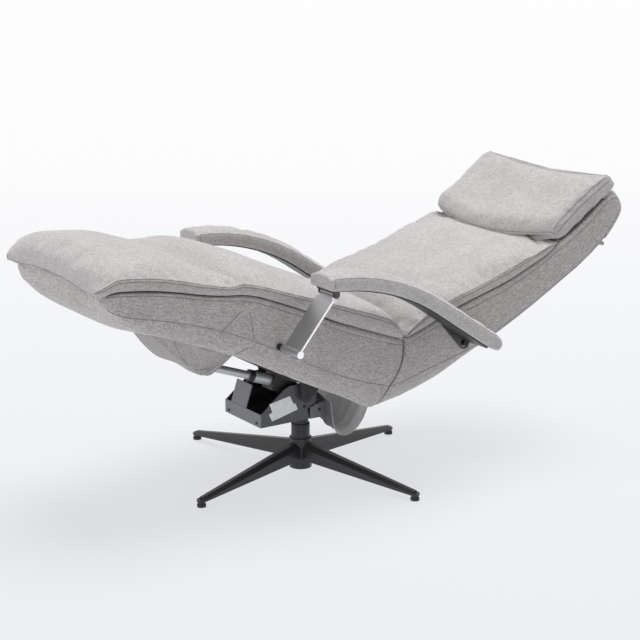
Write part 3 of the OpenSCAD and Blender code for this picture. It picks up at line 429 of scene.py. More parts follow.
def heather(name, light, dark, rest=True, speck=1.0):
    """Heathered woven upholstery: light and dark yarns both ways over a fine plain weave."""
    m, nt, shader = material(name)
    if rest:
        place = nt.nodes.new("ShaderNodeAttribute")
        place.attribute_name = "rest"
        co = place.outputs["Vector"]
    else:
        co = nt.nodes.new("ShaderNodeTexCoord").outputs["Object"]
    slub_x = noise_of(nt, co, (62, 430, 430), 4.0, 0.7)
    slub_y = noise_of(nt, co, (460, 66, 460), 4.0, 0.7)
    fleck = noise_of(nt, co, (260, 260, 260), 4.0, 0.75)
    yarn = mixed(nt, 0.5, slub_x, slub_y)
    yarn = mixed(nt, 0.35, yarn, fleck)
    streak = ramp(nt, yarn, (0.5 - 0.085 / speck, 0.0), (0.5 + 0.085 / speck, 1.0))
    tone = mixed(nt, streak, dark, light)
    patch = ramp(nt, noise_of(nt, co, (14, 14, 14), 3.0), (0.3, 0.94), (0.7, 1.04))
    tone = mixed(nt, 1.0, tone, patch, "MULTIPLY")
    nt.links.new(tone, shader.inputs["Base Color"])
    shader.inputs["Roughness"].default_value = 0.94
    shader.inputs["Sheen Weight"].default_value = 0.22
    shader.inputs["Sheen Roughness"].default_value = 0.5
    shader.inputs["Specular IOR Level"].default_value = 0.2
    threads = []
    for direction in ("X", "Y", "Z"):
        w = node(nt, "ShaderNodeTexWave", Scale=175.0, Distortion=1.5, wave_type="BANDS",
                 bands_direction=direction)
        w.inputs["Detail"].default_value = 1.0
        nt.links.new(co, w.inputs["Vector"])
        threads.append(w.outputs["Fac"])
    cross = mixed(nt, 0.34, mixed(nt, 0.5, threads[0], threads[1]), threads[2])
    cross = mixed(nt, 0.6, cross, yarn)
    b = node(nt, "ShaderNodeBump", Strength=0.5, Distance=0.0015)
    nt.links.new(cross, b.inputs["Height"])
    nt.links.new(b.outputs[0], shader.inputs["Normal"])
    return m


def metal(name, colour, rough, streak, vary=0.08, metallic=1.0, coat=0.0):
    """Brushed, painted or polished metal, or a moulding, with fine streaks in its roughness and tone."""
    m, nt, shader = material(name)
    n = noise_of(nt, nt.nodes.new("ShaderNodeTexCoord").outputs["Object"], streak, 4.0)
    shader.inputs["Metallic"].default_value = metallic
    r = nt.nodes.new("ShaderNodeMapRange")
    r.inputs["To Min"].default_value = max(0.03, rough - vary)
    r.inputs["To Max"].default_value = rough + vary
    nt.links.new(n, r.inputs["Value"])
    nt.links.new(r.outputs[0], shader.inputs["Roughness"])
    tone = mixed(nt, 1.0, colour, ramp(nt, n, (0.3, 0.88), (0.7, 1.06)), "MULTIPLY")
    nt.links.new(tone, shader.inputs["Base Color"])
    b = node(nt, "ShaderNodeBump", Strength=0.08, Distance=0.0004)
    nt.links.new(n, b.inputs["Height"])
    nt.links.new(b.outputs[0], shader.inputs["Normal"])
    shader.inputs["Coat Weight"].default_value = coat
    return m


def paint_edge_highlight(m):
    """Paints the faces that look along the chair's width white: a painted highlight, as the bar's edges catch
    the light.
    """
    nt = m.node_tree
    shader = nt.nodes["Principled BSDF"]
    split = nt.nodes.new("ShaderNodeSeparateXYZ")
    nt.links.new(nt.nodes.new("ShaderNodeTexCoord").outputs["Normal"], split.inputs[0])
    size = node(nt, "ShaderNodeMath", operation="ABSOLUTE")
    nt.links.new(split.outputs["X"], size.inputs[0])
    end = node(nt, "ShaderNodeMath", operation="GREATER_THAN")
    end.inputs[1].default_value = 0.9
    nt.links.new(size.outputs[0], end.inputs[0])
    tone = shader.inputs["Base Color"].links[0].from_socket
    nt.links.new(mixed(nt, end.outputs[0], tone, (1.0, 1.0, 1.0)), shader.inputs["Base Color"])


FABRIC_TOP = heather("fabric_top", (0.690, 0.664, 0.660), (0.420, 0.400, 0.398))
# The border fabric is a copy of the top fabric, a little darker and warmer: painted shade, warmed against the
# floor's bluish glow that lights the border.
FABRIC_BORDER = heather("fabric_border", (0.690, 0.648, 0.630), (0.390, 0.362, 0.350), speck=1.1)
# A darker copy of the side fabric for the knee pouch: painted shade, as the pouch hangs in the seat's shadow.
FABRIC_PAINTED_SHADE = heather("fabric_painted_shade", (0.470, 0.438, 0.428), (0.215, 0.198, 0.193), speck=1.2)
# The side fabric is darker than the top fabric: partly its own warmer tone, partly painted shade for the
# upright sides, which get less light than the tops.
FABRIC_SIDE = heather("fabric_side", (0.680, 0.640, 0.626), (0.330, 0.305, 0.297), speck=1.2)
LINING = heather("lining_cloth", (0.52, 0.52, 0.525), (0.42, 0.42, 0.425), speck=0.7)
# Lit and shaded copies of the lining for the sling: a painted shade copy for its front wall and a painted
# light copy for its hollow side.
LINING_PAINTED_SHADE = heather("lining_painted_shade", (0.15, 0.15, 0.155), (0.11, 0.11, 0.115), speck=0.7)
LINING_PAINTED_LIGHT = heather("lining_painted_light", (0.90, 0.90, 0.90), (0.78, 0.78, 0.78), speck=0.7)
# The hem cloth has the side fabric's colours, painted shade included.
HEM = heather("hem_cloth", (0.680, 0.640, 0.626), (0.330, 0.305, 0.297), rest=False)
# Dark seam lines: painted shade, where the seams' grooves fall dark.
SEAM_SHADE = heather("seam_painted_shade", (0.27, 0.255, 0.25), (0.19, 0.178, 0.175))
WEBBING = heather("woven_webbing", (0.06, 0.06, 0.065), (0.025, 0.025, 0.03), rest=False)
BASE_BLACK = metal("base_black", (0.017, 0.0175, 0.019), 0.42, (300, 300, 300), 0.06, 0.0, 0.15)
FRAME_BLACK = metal("frame_black_paint", (0.022, 0.022, 0.024), 0.5, (300, 300, 300), 0.06, 0.0)
PLASTIC = metal("black_moulding", (0.024, 0.024, 0.026), 0.55, (700, 700, 700), 0.08, 0.0)
DARK_SHEET = metal("dark_sheet_paint", (0.092, 0.094, 0.102), 0.42, (200, 200, 200), 0.06, 0.0)
GREY_SHEET = metal("grey_sheet_paint", (0.17, 0.175, 0.19), 0.42, (200, 200, 200), 0.06, 0.0)
BRIGHT = metal("bright_plate", (0.66, 0.67, 0.69), 0.20, (20, 20, 400), 0.05)
BRUSHED = metal("brushed_bar", (0.38, 0.384, 0.395), 0.40, (900, 30, 30), 0.08)
LINK_STEEL = metal("link_bar", (0.44, 0.444, 0.455), 0.42, (900, 30, 30), 0.08)
# The link bar's faces along the width get a painted highlight.
paint_edge_highlight(LINK_STEEL)
DRIVE_STEEL = metal("drive_tube_steel", (0.62, 0.625, 0.64), 0.36, (40, 300, 300), 0.05, 0.4)
RAIL_GREY = metal("satin_rail", (0.095, 0.096, 0.10), 0.45, (900, 30, 30), 0.08)
SCREW = metal("black_oxide", (0.03, 0.03, 0.033), 0.4, (300, 300, 300), 0.05, 0.6)
BY_SLOT = {
    "cast_black": BASE_BLACK, "black_plastic": PLASTIC, "dark_sheet": DARK_SHEET, "grey_sheet": GREY_SHEET,
    "black_screws": SCREW, "frame_black": FRAME_BLACK, "bright_steel": BRIGHT, "dull_steel": BRUSHED,
    "webbing": WEBBING, "fabric_top": FABRIC_TOP, "fabric_side": FABRIC_SIDE, "lining": LINING,
}
OWN_FINISH = {"arm_rail_left": RAIL_GREY, "arm_rail_right": RAIL_GREY, "arm_link_left": LINK_STEEL,
              "arm_link_right": LINK_STEEL, "tilt_shaft": SCREW, "foot_tube": DRIVE_STEEL,
              "foot_rod": DRIVE_STEEL, "pillow_weight": HEM}
for part in frame["record"]["subparts"]:
    data = NODES[part["node"]].data
    finish = OWN_FINISH.get(part["node"], BY_SLOT[part["material_slot"]])
    if not data.materials:
        data.materials.append(finish)
    for i in range(len(data.materials)):
        data.materials[i] = finish

# ---------------------------------------------------------------- boxed cushions
EDGE_STEPS = np.array([0, 2.5, 6, 11, 18, 27, 38, 51])
INNER = 30
N_TOP = 2 * len(EDGE_STEPS) + INNER
BORDER = np.array([0.10, 0.22, 0.45, 0.7, 0.9, 1.0])
N_LOW = 24
TUCK, BULGE = 4.0, 2.0
CUSHION_CAP = 8


def across_top(half):
    steps = half - EDGE_STEPS
    inner = np.linspace(steps[-1], -steps[-1], INNER + 2)[1:-1]
    return np.r_[steps, inner, -steps[::-1]]


def boxed_ring(half, height, crown, arch):
    """One ring of a boxed cushion in (x, n), n along the cushion's normal from its piped edge: a crowned top
    between two seams, a border down to the lower edge, and an underside that arches like the top."""
    x = across_top(half)
    s = np.abs(x / half)
    top = crown * (1 - s ** 2.6) ** 0.75 + arch * (1 - s * s)
    side = [(-(half + BULGE * math.sin(math.pi * t) - TUCK * t ** 2), -height * t) for t in BORDER]
    low_x = np.linspace(-1, 1, N_LOW + 2)[1:-1]
    low = np.c_[(half - TUCK) * low_x, -height - 1.0 + arch * (1 - low_x ** 2)]
    return np.vstack([np.c_[x, top], side, low, [(-p[0], p[1]) for p in side[::-1]]])


FREE_BORDER = np.array([0.1, 0.25, 0.35, 0.3, 0.15, 0.0])
FREE_RING = np.r_[0, np.ones(N_TOP - 2), 0, FREE_BORDER, np.zeros(N_LOW), FREE_BORDER[::-1]]
RING = len(FREE_RING)
SEAM_RING = np.r_[1, np.zeros(N_TOP - 2), 1, np.zeros(RING - N_TOP)]


def height_over(point, tilt, line):
    """How far the line lies under a point, along the ring's normal."""
    local = turned(line - point, -tilt)
    return -np.interp(0, local[:, 0], local[:, 1])


def cushion(name, seam, low, tilts, table, seed, shares, slant=0.0):
    """A boxed cushion lofted along its piped edge. seam and low are side-view lines in the shared frame.
    tilts gives the ring's slope at a point of the seam. A row of table holds share, half width, crown, arch
    and pinch. slant moves the crown of the far edge towards the feet, as a share of the length."""
    count = len(shares)
    points = spread(rounded(seam, 2), count, shares)
    table = np.asarray(table, float)
    rings, frees = [], []
    low = spread(rounded(low, 2), 500)
    for k, (p, u) in enumerate(zip(points, shares)):
        half, arch, pinch = (np.interp(u, table[:, 0], table[:, c]) for c in (1, 3, 4))
        shift = slant * smoothstep((u - 0.10) / 0.2) * (1 - smoothstep((u - 0.6) / 0.2))
        crown = np.interp(u + shift * (1 - across_top(half) / half) / 2, table[:, 0], table[:, 2])
        tilt = tilts(p)
        height = max(1.0, height_over(p, tilt, low)) * pinch
        ring = boxed_ring(half, height, crown, arch)
        world = p + turned(np.c_[np.zeros(len(ring)), ring[:, 1] - (1 - pinch) * 5], tilt)
        rings.append(np.c_[ring[:, 0], world])
        frees.append(FREE_RING * min(1, min(k, count - 1 - k) / 3))
    obj = loft(name, rings, FABRIC_TOP)
    outward(obj)
    obj.data.materials.append(SEAM_SHADE)
    obj.data.materials.append(FABRIC_BORDER)
    for face in obj.data.polygons[: (count - 1) * RING]:
        j = face.index % RING
        if N_TOP - 1 <= j < N_TOP - 1 + len(BORDER) or j >= RING - len(BORDER):
            face.material_index = BORDER_AT
    free = np.concatenate(frees)
    sink(obj, np.tile(SEAM_RING, count), 1.2)
    inflate(obj, free, CUSHION_CAP)
    keep = np.clip(free, 0.12, 1)
    swell(obj, 2.6, 130, seed, keep)
    swell(obj, 1.2, 45, seed + 7, keep, (0.6, 1.3, 1))
    gather(obj, count, seed)
    return obj, count


GATHER_REACH = 2.4


def gather(obj, count, seed):
    """Short gathers that run in from the two long seams, and along the border."""
    co, no = coords(obj), normals(obj)
    rows_at = np.arange(count) * RING
    for side in (0, 1):
        for j in range(1, 9):
            idx = rows_at + (j if side == 0 else N_TOP - 1 - j)
            w = np.array([noise.noise(Vector((seed + side * 9, co[i, 1] / 0.017, j * 0.15))) for i in idx])
            co[idx] += no[idx] * (w * 1.9 * math.exp(-j / GATHER_REACH) * MM)[:, None]
        for j in range(1, len(BORDER)):
            idx = rows_at + (N_TOP - 1 + j if side else RING - j)
            w = np.array([noise.noise(Vector((seed + 20 + side * 9, co[i, 1] / 0.030, j * 0.3)))
                          for i in idx])
            co[idx] += no[idx] * (w * 1.6 * math.sin(math.pi * j / len(BORDER)) * MM)[:, None]
    set_coords(obj, co)


SECOND_ROW = 2


def piping(count, first, last):
    """Rows of point numbers under the seams of a cushion: both long piped edges and a second row on each
    border."""
    span = np.arange(first, count - last) * RING
    return [list(span), list(span + N_TOP - 1), list(span + N_TOP - 1 + SECOND_ROW),
            list(span + RING - SECOND_ROW)]


# footrest and seat: one cover, with a soft valley over the knee hinge
leg_seam = [(-367, -5), (-368, 0), (-364, 6), (-356, 14), (-340, 27.5), (-322, 36), (-272, 40), (-222, 42),
            (-170, 38), (-116, 33), (-70, 31), (-45, 30)]
seat_seam = [(-512, 23), (-497, 31), (-476, 35.5), (-440, 37), (-321, 38.5), (-105, 39), (-65, 36.5),
             (-30, 27), (-14, 15), (-5, 5)]
leg_low = [(-369, -7), (-366, -13), (-358, -12), (-337, 4.5), (-298, 9.5), (-238, 13.5), (-176, 12.5),
           (-113, 9), (-60, 9)]
seat_low = [(-464, 13.5), (-371, 10.5), (-305, 6.5), (-259, 3.5), (-193, -1.5), (-116, -3), (-19, -3),
            (2, -3)]
cover_seam = np.vstack([foot(leg_seam), seat(seat_seam)])
cover_low = np.vstack([foot(leg_low), seat(seat_low)])
VALLEY = -342.0


def cover_tilt(p):
    return FOOT_SLOPE + (SEAT_SLOPE - FOOT_SLOPE) * float(smoothstep((p[0] + 420) / 150))


def share_at(line, y):
    """The share of a line's length where it passes y."""
    pts = spread(rounded(line, 2), 400)
    return float(np.interp(y, pts[:, 0], np.linspace(0, 1, 400)))


dip = share_at(cover_seam, VALLEY)
cover_rows = [(0, 216, 6, 16, 0.6), (0.006, 228, 14, 19, 0.9), (0.014, 236, 21, 20, 1),
              (0.03, 245, 29, 16, 1), (0.06, 251, 34, 9, 1), (0.10, 253, 38, 3, 1), (0.2, 252, 40, 0, 1),
              (dip - 0.12, 251, 41, 0, 1), (dip - 0.06, 252, 36, 0, 1), (dip - 0.022, 252, 20, 0, 1),
              (dip, 252.5, 5, 0, 1), (dip + 0.025, 253, 18, 0, 1), (dip + 0.06, 253, 36, 0, 1),
              (dip + 0.1, 253, 45, 0, 1), (0.56, 252, 44, 0, 1), (0.68, 252, 34, 0, 1), (0.8, 252, 26, 0, 1),
              (0.93, 254, 18, 0, 1), (0.98, 253, 8, 0, 1), (1, 249, 3, 0, 0.6)]
cover_shares = np.r_[0, 0.004, 0.009, 0.016, np.linspace(0.025, dip - 0.06, 36),
                     np.linspace(dip - 0.053, dip + 0.055, 24), np.linspace(dip + 0.063, 0.975, 42), 0.984,
                     0.991, 0.996, 1]
seat_cover, n_cover = cushion("seat_cover", cover_seam, cover_low, cover_tilt, cover_rows, 3.0, cover_shares,
                              slant=0.125)
puckers = [
    ([(170, *foot((-62, 58))), (40, *foot((-120, 72))), (-110, *foot((-165, 74)))], -3.5, 14),
    ([(195, *foot((-40, 48))), (95, *foot((-84, 64))), (-30, *foot((-116, 72)))], 3.0, 11),
    ([(240, *foot((-66, 46))), (185, *foot((-92, 62))), (110, *foot((-130, 74)))], -4.2, 7),
    ([(242, *foot((-44, 42))), (200, *foot((-60, 54))), (140, *foot((-78, 62)))], -4.4, 6),
    ([(244, *foot((-20, 38))), (205, *foot((-26, 44))), (150, *foot((-36, 48)))], -4.0, 6),
    ([(242, *seat((-472, 50))), (190, *seat((-458, 62))), (130, *seat((-436, 68)))], -3.6, 7),
    ([(244, *seat((-440, 50))), (205, *seat((-426, 60))), (160, *seat((-410, 66)))], -2.6, 6),
]
for path, height, width in puckers:
    ridge(seat_cover, path, height, width)
# The dark seam tube along the cushion's lower front edge is painted shadow: it stands in for the contact
# shadow between the cushion and the body under it.
front_shadow_row = list(range(N_TOP + len(BORDER) - 1, RING - len(BORDER) + 1))
settle(seat_cover, SEAT_SLOPE)
stitch(seat_cover, piping(n_cover, 1, 5) + [front_shadow_row])
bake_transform(seat_cover)
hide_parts("seat_cushion", "foot_cushion")

# backrest
back_seam = back([(30, 41), (35, 46), (50, 55), (79, 63), (108, 70.5), (174, 73), (213, 72), (294, 69),
                  (350, 70), (430, 72), (490, 75), (520, 77), (534, 76), (541, 72)])
back_low = back([(24, 37.5), (45, 38.5), (136, 42.5), (203, 45.5), (260, 43.5), (313, 41.5), (360, 40.5),
                 (427, 47.5), (485, 54.5), (531, 65), (550, 67)])
back_rows = [(0, 247, 1, 0, 0.5), (0.02, 252, 5, 0, 1), (0.1, 254, 16, 0, 1), (0.3, 252.5, 24, 0, 1),
             (0.6, 251, 25, 0, 1), (0.76, 252, 21, 0, 1), (0.84, 253, 12, 0, 1), (0.90, 254, 3, 0, 1),
             (0.95, 254, 0, 0, 1), (1, 246, 0, 0, 0.5)]
back_shares = np.r_[0, 0.006, 0.013, np.linspace(0.024, 0.972, 72), 0.982, 0.99, 0.996, 1]
back_cover, n_back = cushion("back_cover", back_seam, back_low, lambda p: BACK_SLOPE, back_rows, 21.0,
                             back_shares)
ridge(back_cover, [(228, *back((205, 88))), (150, *back((196, 98))), (90, *back((204, 100)))], -2.6, 7)
ridge(back_cover, [(236, *back((120, 84))), (190, *back((110, 92)))], -2.4, 9)
ridge(back_cover, [(-150, *back((112, 90))), (-190, *back((140, 90)))], -2.0, 10)
ridge(back_cover, [(225, *back((505, 90))), (120, *back((498, 96))), (0, *back((505, 96)))], -2.0, 10)
settle(back_cover, BACK_SLOPE)
top_row = [(n_back - 4) * RING + j for j in range(0, N_TOP)]
stitch(back_cover, piping(n_back, 2, 4) + [top_row])
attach(back_cover, "backrest")
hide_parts("back_cushion")

# ---------------------------------------------------------------- head pillow
PILLOW_SLOPE = 16.5
PILLOW_FOOT, PILLOW_LEN = np.array([533.0, 90.5]), 234.0
PILLOW_T = [(0, 12), (0.02, 26), (0.06, 38), (0.14, 49), (0.5, 54), (0.86, 51), (0.94, 46), (0.98, 35),
            (1, 20)]
PILLOW_ROUND = 15.0
PILLOW_HALF = [(0, 234), (0.03, 242), (0.1, 246), (0.5, 243), (0.9, 248), (0.97, 247), (1, 240)]
N_PILLOW, N_EDGE = 34, 7


def pillow_ring(u):
    t = np.interp(u, *zip(*PILLOW_T))
    half = np.interp(u, *zip(*PILLOW_HALF))
    x = across_top(half)
    s = np.abs(x / half)
    bend = -(3.0 + 15.0 * smoothstep(u / 0.5)) * (1 - s ** 2)
    edge = 0.40 * t
    inward = np.clip(PILLOW_ROUND - (half - np.abs(x)), 0, PILLOW_ROUND)
    corner = PILLOW_ROUND - np.sqrt(PILLOW_ROUND ** 2 - inward ** 2)
    corner *= min(1, 1.1 * edge / PILLOW_ROUND)
    top = np.c_[x, edge + 0.17 * t * (1 - s ** 3) ** 0.8 + bend - corner]
    sides = np.linspace(0, 1, N_EDGE + 1)
    drop = top[0, 1] + edge
    left = [(-(half + 3.0 * math.sin(math.pi * q)), top[0, 1] - drop * q) for q in sides[1:]]
    bottom = np.c_[-x, -edge - 0.06 * t * (1 - s ** 3) ** 0.8 + 0.25 * bend][1:]
    right = [(half + 3.0 * math.sin(math.pi * q), -edge + drop * q) for q in sides[1:-1]]
    ring = np.vstack([top, left, bottom, right])
    ring[:, 1] -= 0.16 * (54 - t) * max(0.0, 1 - 2 * u)
    free = np.r_[0, np.ones(N_TOP - 2), 0, np.full(N_EDGE - 1, 0.4), 0, np.ones(N_TOP - 2), 0,
                 np.full(N_EDGE - 1, 0.4)]
    droop = (46 - 35 * u) * (1 - np.minimum(1, np.abs(ring[:, 0] / half)) ** 2)
    along = np.stack([PILLOW_LEN * u - droop, ring[:, 1]], -1)
    local = PILLOW_FOOT + turned(along, PILLOW_SLOPE)
    return np.c_[ring[:, 0], back(local)], free


made = [pillow_ring(u) for u in np.linspace(0, 1, N_PILLOW)]
pillow = loft("pillow_pad", [m[0] for m in made], FABRIC_TOP)
outward(pillow)
n_ring = len(made[0][0])
free = np.concatenate([m[1] * min(1, min(k, N_PILLOW - 1 - k) / 3) for k, m in enumerate(made)])
inflate(pillow, free, 6)
swell(pillow, 2.8, 95, 31.0, np.clip(free, 0.2, 1))
swell(pillow, 1.1, 30, 37.0, np.clip(free, 0.2, 1), (1.6, 0.7, 0.7))
for gx in (-60, 5, 60, 130):
    ridge(pillow, [(gx, *back((548, 98))), (gx + 8, *back((575, 108)))], -1.8, 6)
settle(pillow, BACK_SLOPE + PILLOW_SLOPE)
rows_at = np.arange(2, N_PILLOW - 2) * n_ring
stitch(pillow, [list(rows_at), list(rows_at + N_TOP - 1), list(rows_at + 2), list(rows_at + N_TOP + 1),
                [n_ring + j for j in range(N_TOP)], [(N_PILLOW - 2) * n_ring + j for j in range(N_TOP)]])
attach(pillow, "pillow")
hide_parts("head_pillow")

# ---------------------------------------------------------------- armrests
BOW_R, BOW_TURN, TAIL = 561.0, math.radians(34.0), 226.0
ARM_FRONT, ARM_LIFT, ARM_X, ARM_HALF = 24.0, 13.3, 303.0, 44.0
BOW_LEN = BOW_R * BOW_TURN
ARM_LEN = BOW_LEN + TAIL
ARM_MID = 13.0
N_ARM_TOP, N_ARM_SIDE, N_ARM_LOW = 15, 7, 8


def arm_path(s, lift):
    a = min(s / BOW_R, BOW_TURN)
    p = np.array([BOW_R * math.sin(a) - ARM_FRONT, ARM_LIFT - BOW_R * (1 - math.cos(a))])
    if s > BOW_LEN:
        p = p + (s - BOW_LEN) * np.array([math.cos(a), -math.sin(a)])
    return ARM_TOP + p + lift * np.array([math.sin(a), math.cos(a)])


def arm_ring(u):
    """One ring of the arm pad. The lower side edges hang a little over the steel rail."""
    swept = np.interp(u, [0, 0.004, 0.010, 0.02, 0.94, 0.968, 0.985, 0.995, 1],
                      [0.80, 0.92, 0.98, 1, 1, 0.93, 0.78, 0.6, 0.42])
    half = ARM_HALF * np.interp(u, [0, 0.004, 0.010, 0.02, 0.94, 0.975, 0.99, 1],
                                [0.88, 0.95, 0.985, 1, 1, 0.96, 0.9, 0.8])
    edge = ARM_MID + (np.interp(u, [0, 0.6, 1], [27, 29, 33]) - ARM_MID) * swept
    crown = np.interp(u, [0, 0.02, 0.3, 0.6, 1], [8, 9, 10, 9, 7]) * swept
    low = ARM_MID - (ARM_MID - 0.6) * swept
    hang = np.interp(u, [0, 0.03, 0.9, 1], [0, 2.6, 2.6, 0])
    pts = [(half * x, edge + crown * (1 - abs(x) ** 2.2)) for x in np.linspace(1, -1, N_ARM_TOP)]
    side = [(-(half + 2.2 * math.sin(math.pi * t) ** 0.8 - 2.0 * t ** 3), edge + (low - hang - edge) * t)
            for t in np.linspace(0, 1, N_ARM_SIDE + 1)[1:]]
    bottom = [((half - 6) * x, low - hang * abs(x) ** 6) for x in np.linspace(-1, 1, N_ARM_LOW)]
    pts += side + bottom + [(-p[0], p[1]) for p in side[::-1]]
    return np.array([(x, *arm_path(ARM_LEN * u, z)) for x, z in pts])


ARM_FREE = np.r_[0, np.ones(N_ARM_TOP - 2), 0, np.full(N_ARM_SIDE - 1, 0.4), 0, np.zeros(N_ARM_LOW), 0,
                 np.full(N_ARM_SIDE - 1, 0.4)]
ARM_AT = np.r_[0, 0.004, 0.010, 0.018, np.linspace(0.034, 0.955, 50), 0.968, 0.979, 0.988, 0.995, 1.0]


def armrest(side, label):
    rings = [arm_ring(u) * (side, 1, 1) + (side * ARM_X, 0, 0) for u in ARM_AT]
    count = len(ARM_AT)
    obj = loft("arm_cover_" + label, rings, FABRIC_TOP)
    outward(obj)
    free = np.concatenate([ARM_FREE * min(1, min(k, count - 1 - k) / 3) for k in range(count)])
    inflate(obj, free, 3.5)
    swell(obj, 0.9, 45, 41.0 + side, np.clip(free, 0.2, 1))
    settle(obj)
    n = len(ARM_FREE)
    span = np.arange(3, count - 6) * n
    corner = [3 * n + j for j in range(N_ARM_TOP - 1, N_ARM_TOP + N_ARM_SIDE)]
    corner_in = [3 * n] + [4 * n - 1 - j for j in range(0, N_ARM_SIDE - 1)]
    stitch(obj, [list(span), list(span + N_ARM_TOP - 1), corner, corner_in], 0.6)
    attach(obj, "armrest_" + label)
    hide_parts("arm_pad_left" if side > 0 else "arm_pad_right")


armrest(1, "l")
armrest(-1, "r")

# ---------------------------------------------------------------- side panels from the footrest to the crease
panel_top = np.vstack([foot([(-361, -14), (-337, 2), (-298, 7), (-238, 11), (-176, 10.5), (-113, 7),
                             (-60, 7.5)]),
                       seat([(-464, 12), (-371, 8.5), (-305, 4.5), (-259, 1.5), (-193, -3.5), (-116, -5.5),
                             (-19, -5.5), (-2, -4)])])
panel_mid = np.vstack([foot([(-354, -27), (-330, -41), (-299, -48), (-219, -51), (-155, -55), (-55, -68)]),
                       seat([(-431, -87), (-340, -97), (-215, -118), (-120, -125), (-58, -124), (-3, -121)])])
panel_base = np.vstack([foot([(-334, -49), (-254, -80), (-170, -97), (-80, -114), (-15, -128)]),
                        seat([(-401, -139), (-255, -160), (-167, -168), (-105, -176), (-34, -188),
                              (-15, -176)])])
N_SIDE = 100
PANEL_X, PANEL_T, PANEL_INSET = 251.0, 24.0, 19.0
# share of the way down, and offset from the panel's face
PANEL_ROWS = [(0.0, -9), (0.012, -3.5), (0.045, -0.6), (0.09, 0.2), (0.125, -0.9), (0.16, 0.3), (0.28, 1.6),
              (0.42, 2.6), (0.56, 2.8), (0.7, 2.4), (0.84, 1.4), (0.94, 0.3), (1.0, -1.3)]
BAND_ROWS = [(0.14, -1.0), (0.4, -3.5), (0.68, -8), (0.9, -14), (1.0, -PANEL_INSET)]
WELT, LOWER_SEAM = 5, 13
PANEL_DARTS = [[(-326, 508), (-374, 470)], [(-302, 505), (-291, 440)], [(-303, 420), (-335, 404)]]


def panel_ring(top, mid, low, bow, squeeze):
    """Upright ring of a padded side panel in (offset, y, z): its upper edge, flat face, lower seam and
    lower band."""
    out = [(-PANEL_T - squeeze, *top)]
    for t, x in PANEL_ROWS:
        p = top + (mid - top) * t + bow * 4 * t * (1 - t)
        out.append((x - squeeze, *p))
    for t, x in BAND_ROWS:
        p = mid + (low - mid) * t
        out.append((x - squeeze, *p))
    inner = -PANEL_T - squeeze
    out += [(inner, *low), (inner, *(mid + (low - mid) * 0.3)), (inner, *(top + (mid - top) * 0.6))]
    return np.array(out)


def side_panel(side, label):
    shares = np.linspace(0 if side > 0 else 0.018, 1, N_SIDE)
    top, mid, low = (spread(rounded(line, 2), N_SIDE, shares) for line in (panel_top, panel_mid, panel_base))
    rings = []
    for k in range(N_SIDE):
        squeeze = 28 * max(0, 1 - k / 5) ** 1.5 if side > 0 else 44 * max(0, 1 - k / 7) ** 1.5
        reach = max(0, 1 - (N_SIDE - 1 - k) / 9.0) ** 1.5
        ring = panel_ring(top[k], mid[k], low[k], reach * turned([13, 2], SEAT_SLOPE), squeeze)
        rings.append(np.c_[side * (PANEL_X + ring[:, 0]), ring[:, 1:]])
    obj = loft("side_panel_" + label, rings, FABRIC_SIDE)
    outward(obj)
    n = len(rings[0])
    keep = np.ones(n)
    keep[[0, WELT, LOWER_SEAM, n - 1, n - 2, n - 3]] = 0
    soft = np.concatenate([keep * min(1, (N_SIDE - 1 - k) / 4) for k in range(N_SIDE)])
    swell(obj, 2.2, 120, 51.0 * side, soft)
    swell(obj, 0.9, 38, 57.0 * side, soft)
    settle(obj, SEAT_SLOPE)
    rows_at = np.arange(2, N_SIDE) * n
    lines = [list(rows_at + WELT), list(rows_at + LOWER_SEAM)]
    stitch(obj, lines + [draped(obj, dart, side) for dart in PANEL_DARTS], 0.7)
    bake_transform(obj)
    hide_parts(*(["seat_side_left"] if side > 0 else ["seat_side_right", "knee_gussets"]))


side_panel(1, "l")
side_panel(-1, "r")

# ---------------------------------------------------------------- bodies under the cushions
N_ACROSS = 30
BODY_SEAMS = (N_ACROSS + 4, N_ACROSS + 11)
BODY_SIDE = [(0.0, -9), (0.015, -3.5), (0.055, -0.5), (0.1, 0.2), (0.14, -0.9), (0.18, 0.3), (0.35, 2.0),
             (0.52, 2.7), (0.7, 2.2), (0.86, 1.2), (0.95, 0.2), (1.0, -1.3)]


def body_ring(top, mid, low, half, inset, bow, arch, under):
    """Closed ring of a padded body in (x, y, z): flat top, two sides with a welt and a lower seam, bands that
    turn in under it, and an underside."""
    side = [(half + x, *(top + (mid - top) * t + bow * 4 * t * (1 - t))) for t, x in BODY_SIDE]
    side += [(half + x, *(mid + (low - mid) * t)) for t, x in
             ((0.16, -1.0), (0.42, -0.18 * inset - 0.6), (0.7, -0.42 * inset - 1), (0.9, -0.75 * inset - 1),
              (1.0, -inset))]
    x = np.linspace(-1, 1, N_ACROSS)
    over = [((half - 12) * q, top[0], top[1] - 3 + arch * (1 - q * q)) for q in x]
    below = [((half - inset - 6) * q, low[0], low[1] - under * (1 - q ** 4)) for q in -x]
    return np.array(over + side + below + [(-p[0], *p[1:]) for p in side[::-1]])


def body(name, top, mid, low, half, inset, bows, arches, unders, seed, fade):
    rings = [body_ring(*row) for row in zip(top, mid, low, half, inset, bows, arches, unders)]
    obj = loft(name, rings, FABRIC_SIDE)
    outward(obj)
    n = len(rings[0])
    keep = np.ones(n)
    for j in BODY_SEAMS:
        keep[[j, n + N_ACROSS - 1 - j]] = 0
    soft = np.concatenate([keep * f for f in fade])
    swell(obj, 2.2, 115, seed, soft)
    swell(obj, 0.9, 38, seed + 5, soft)
    return obj, n


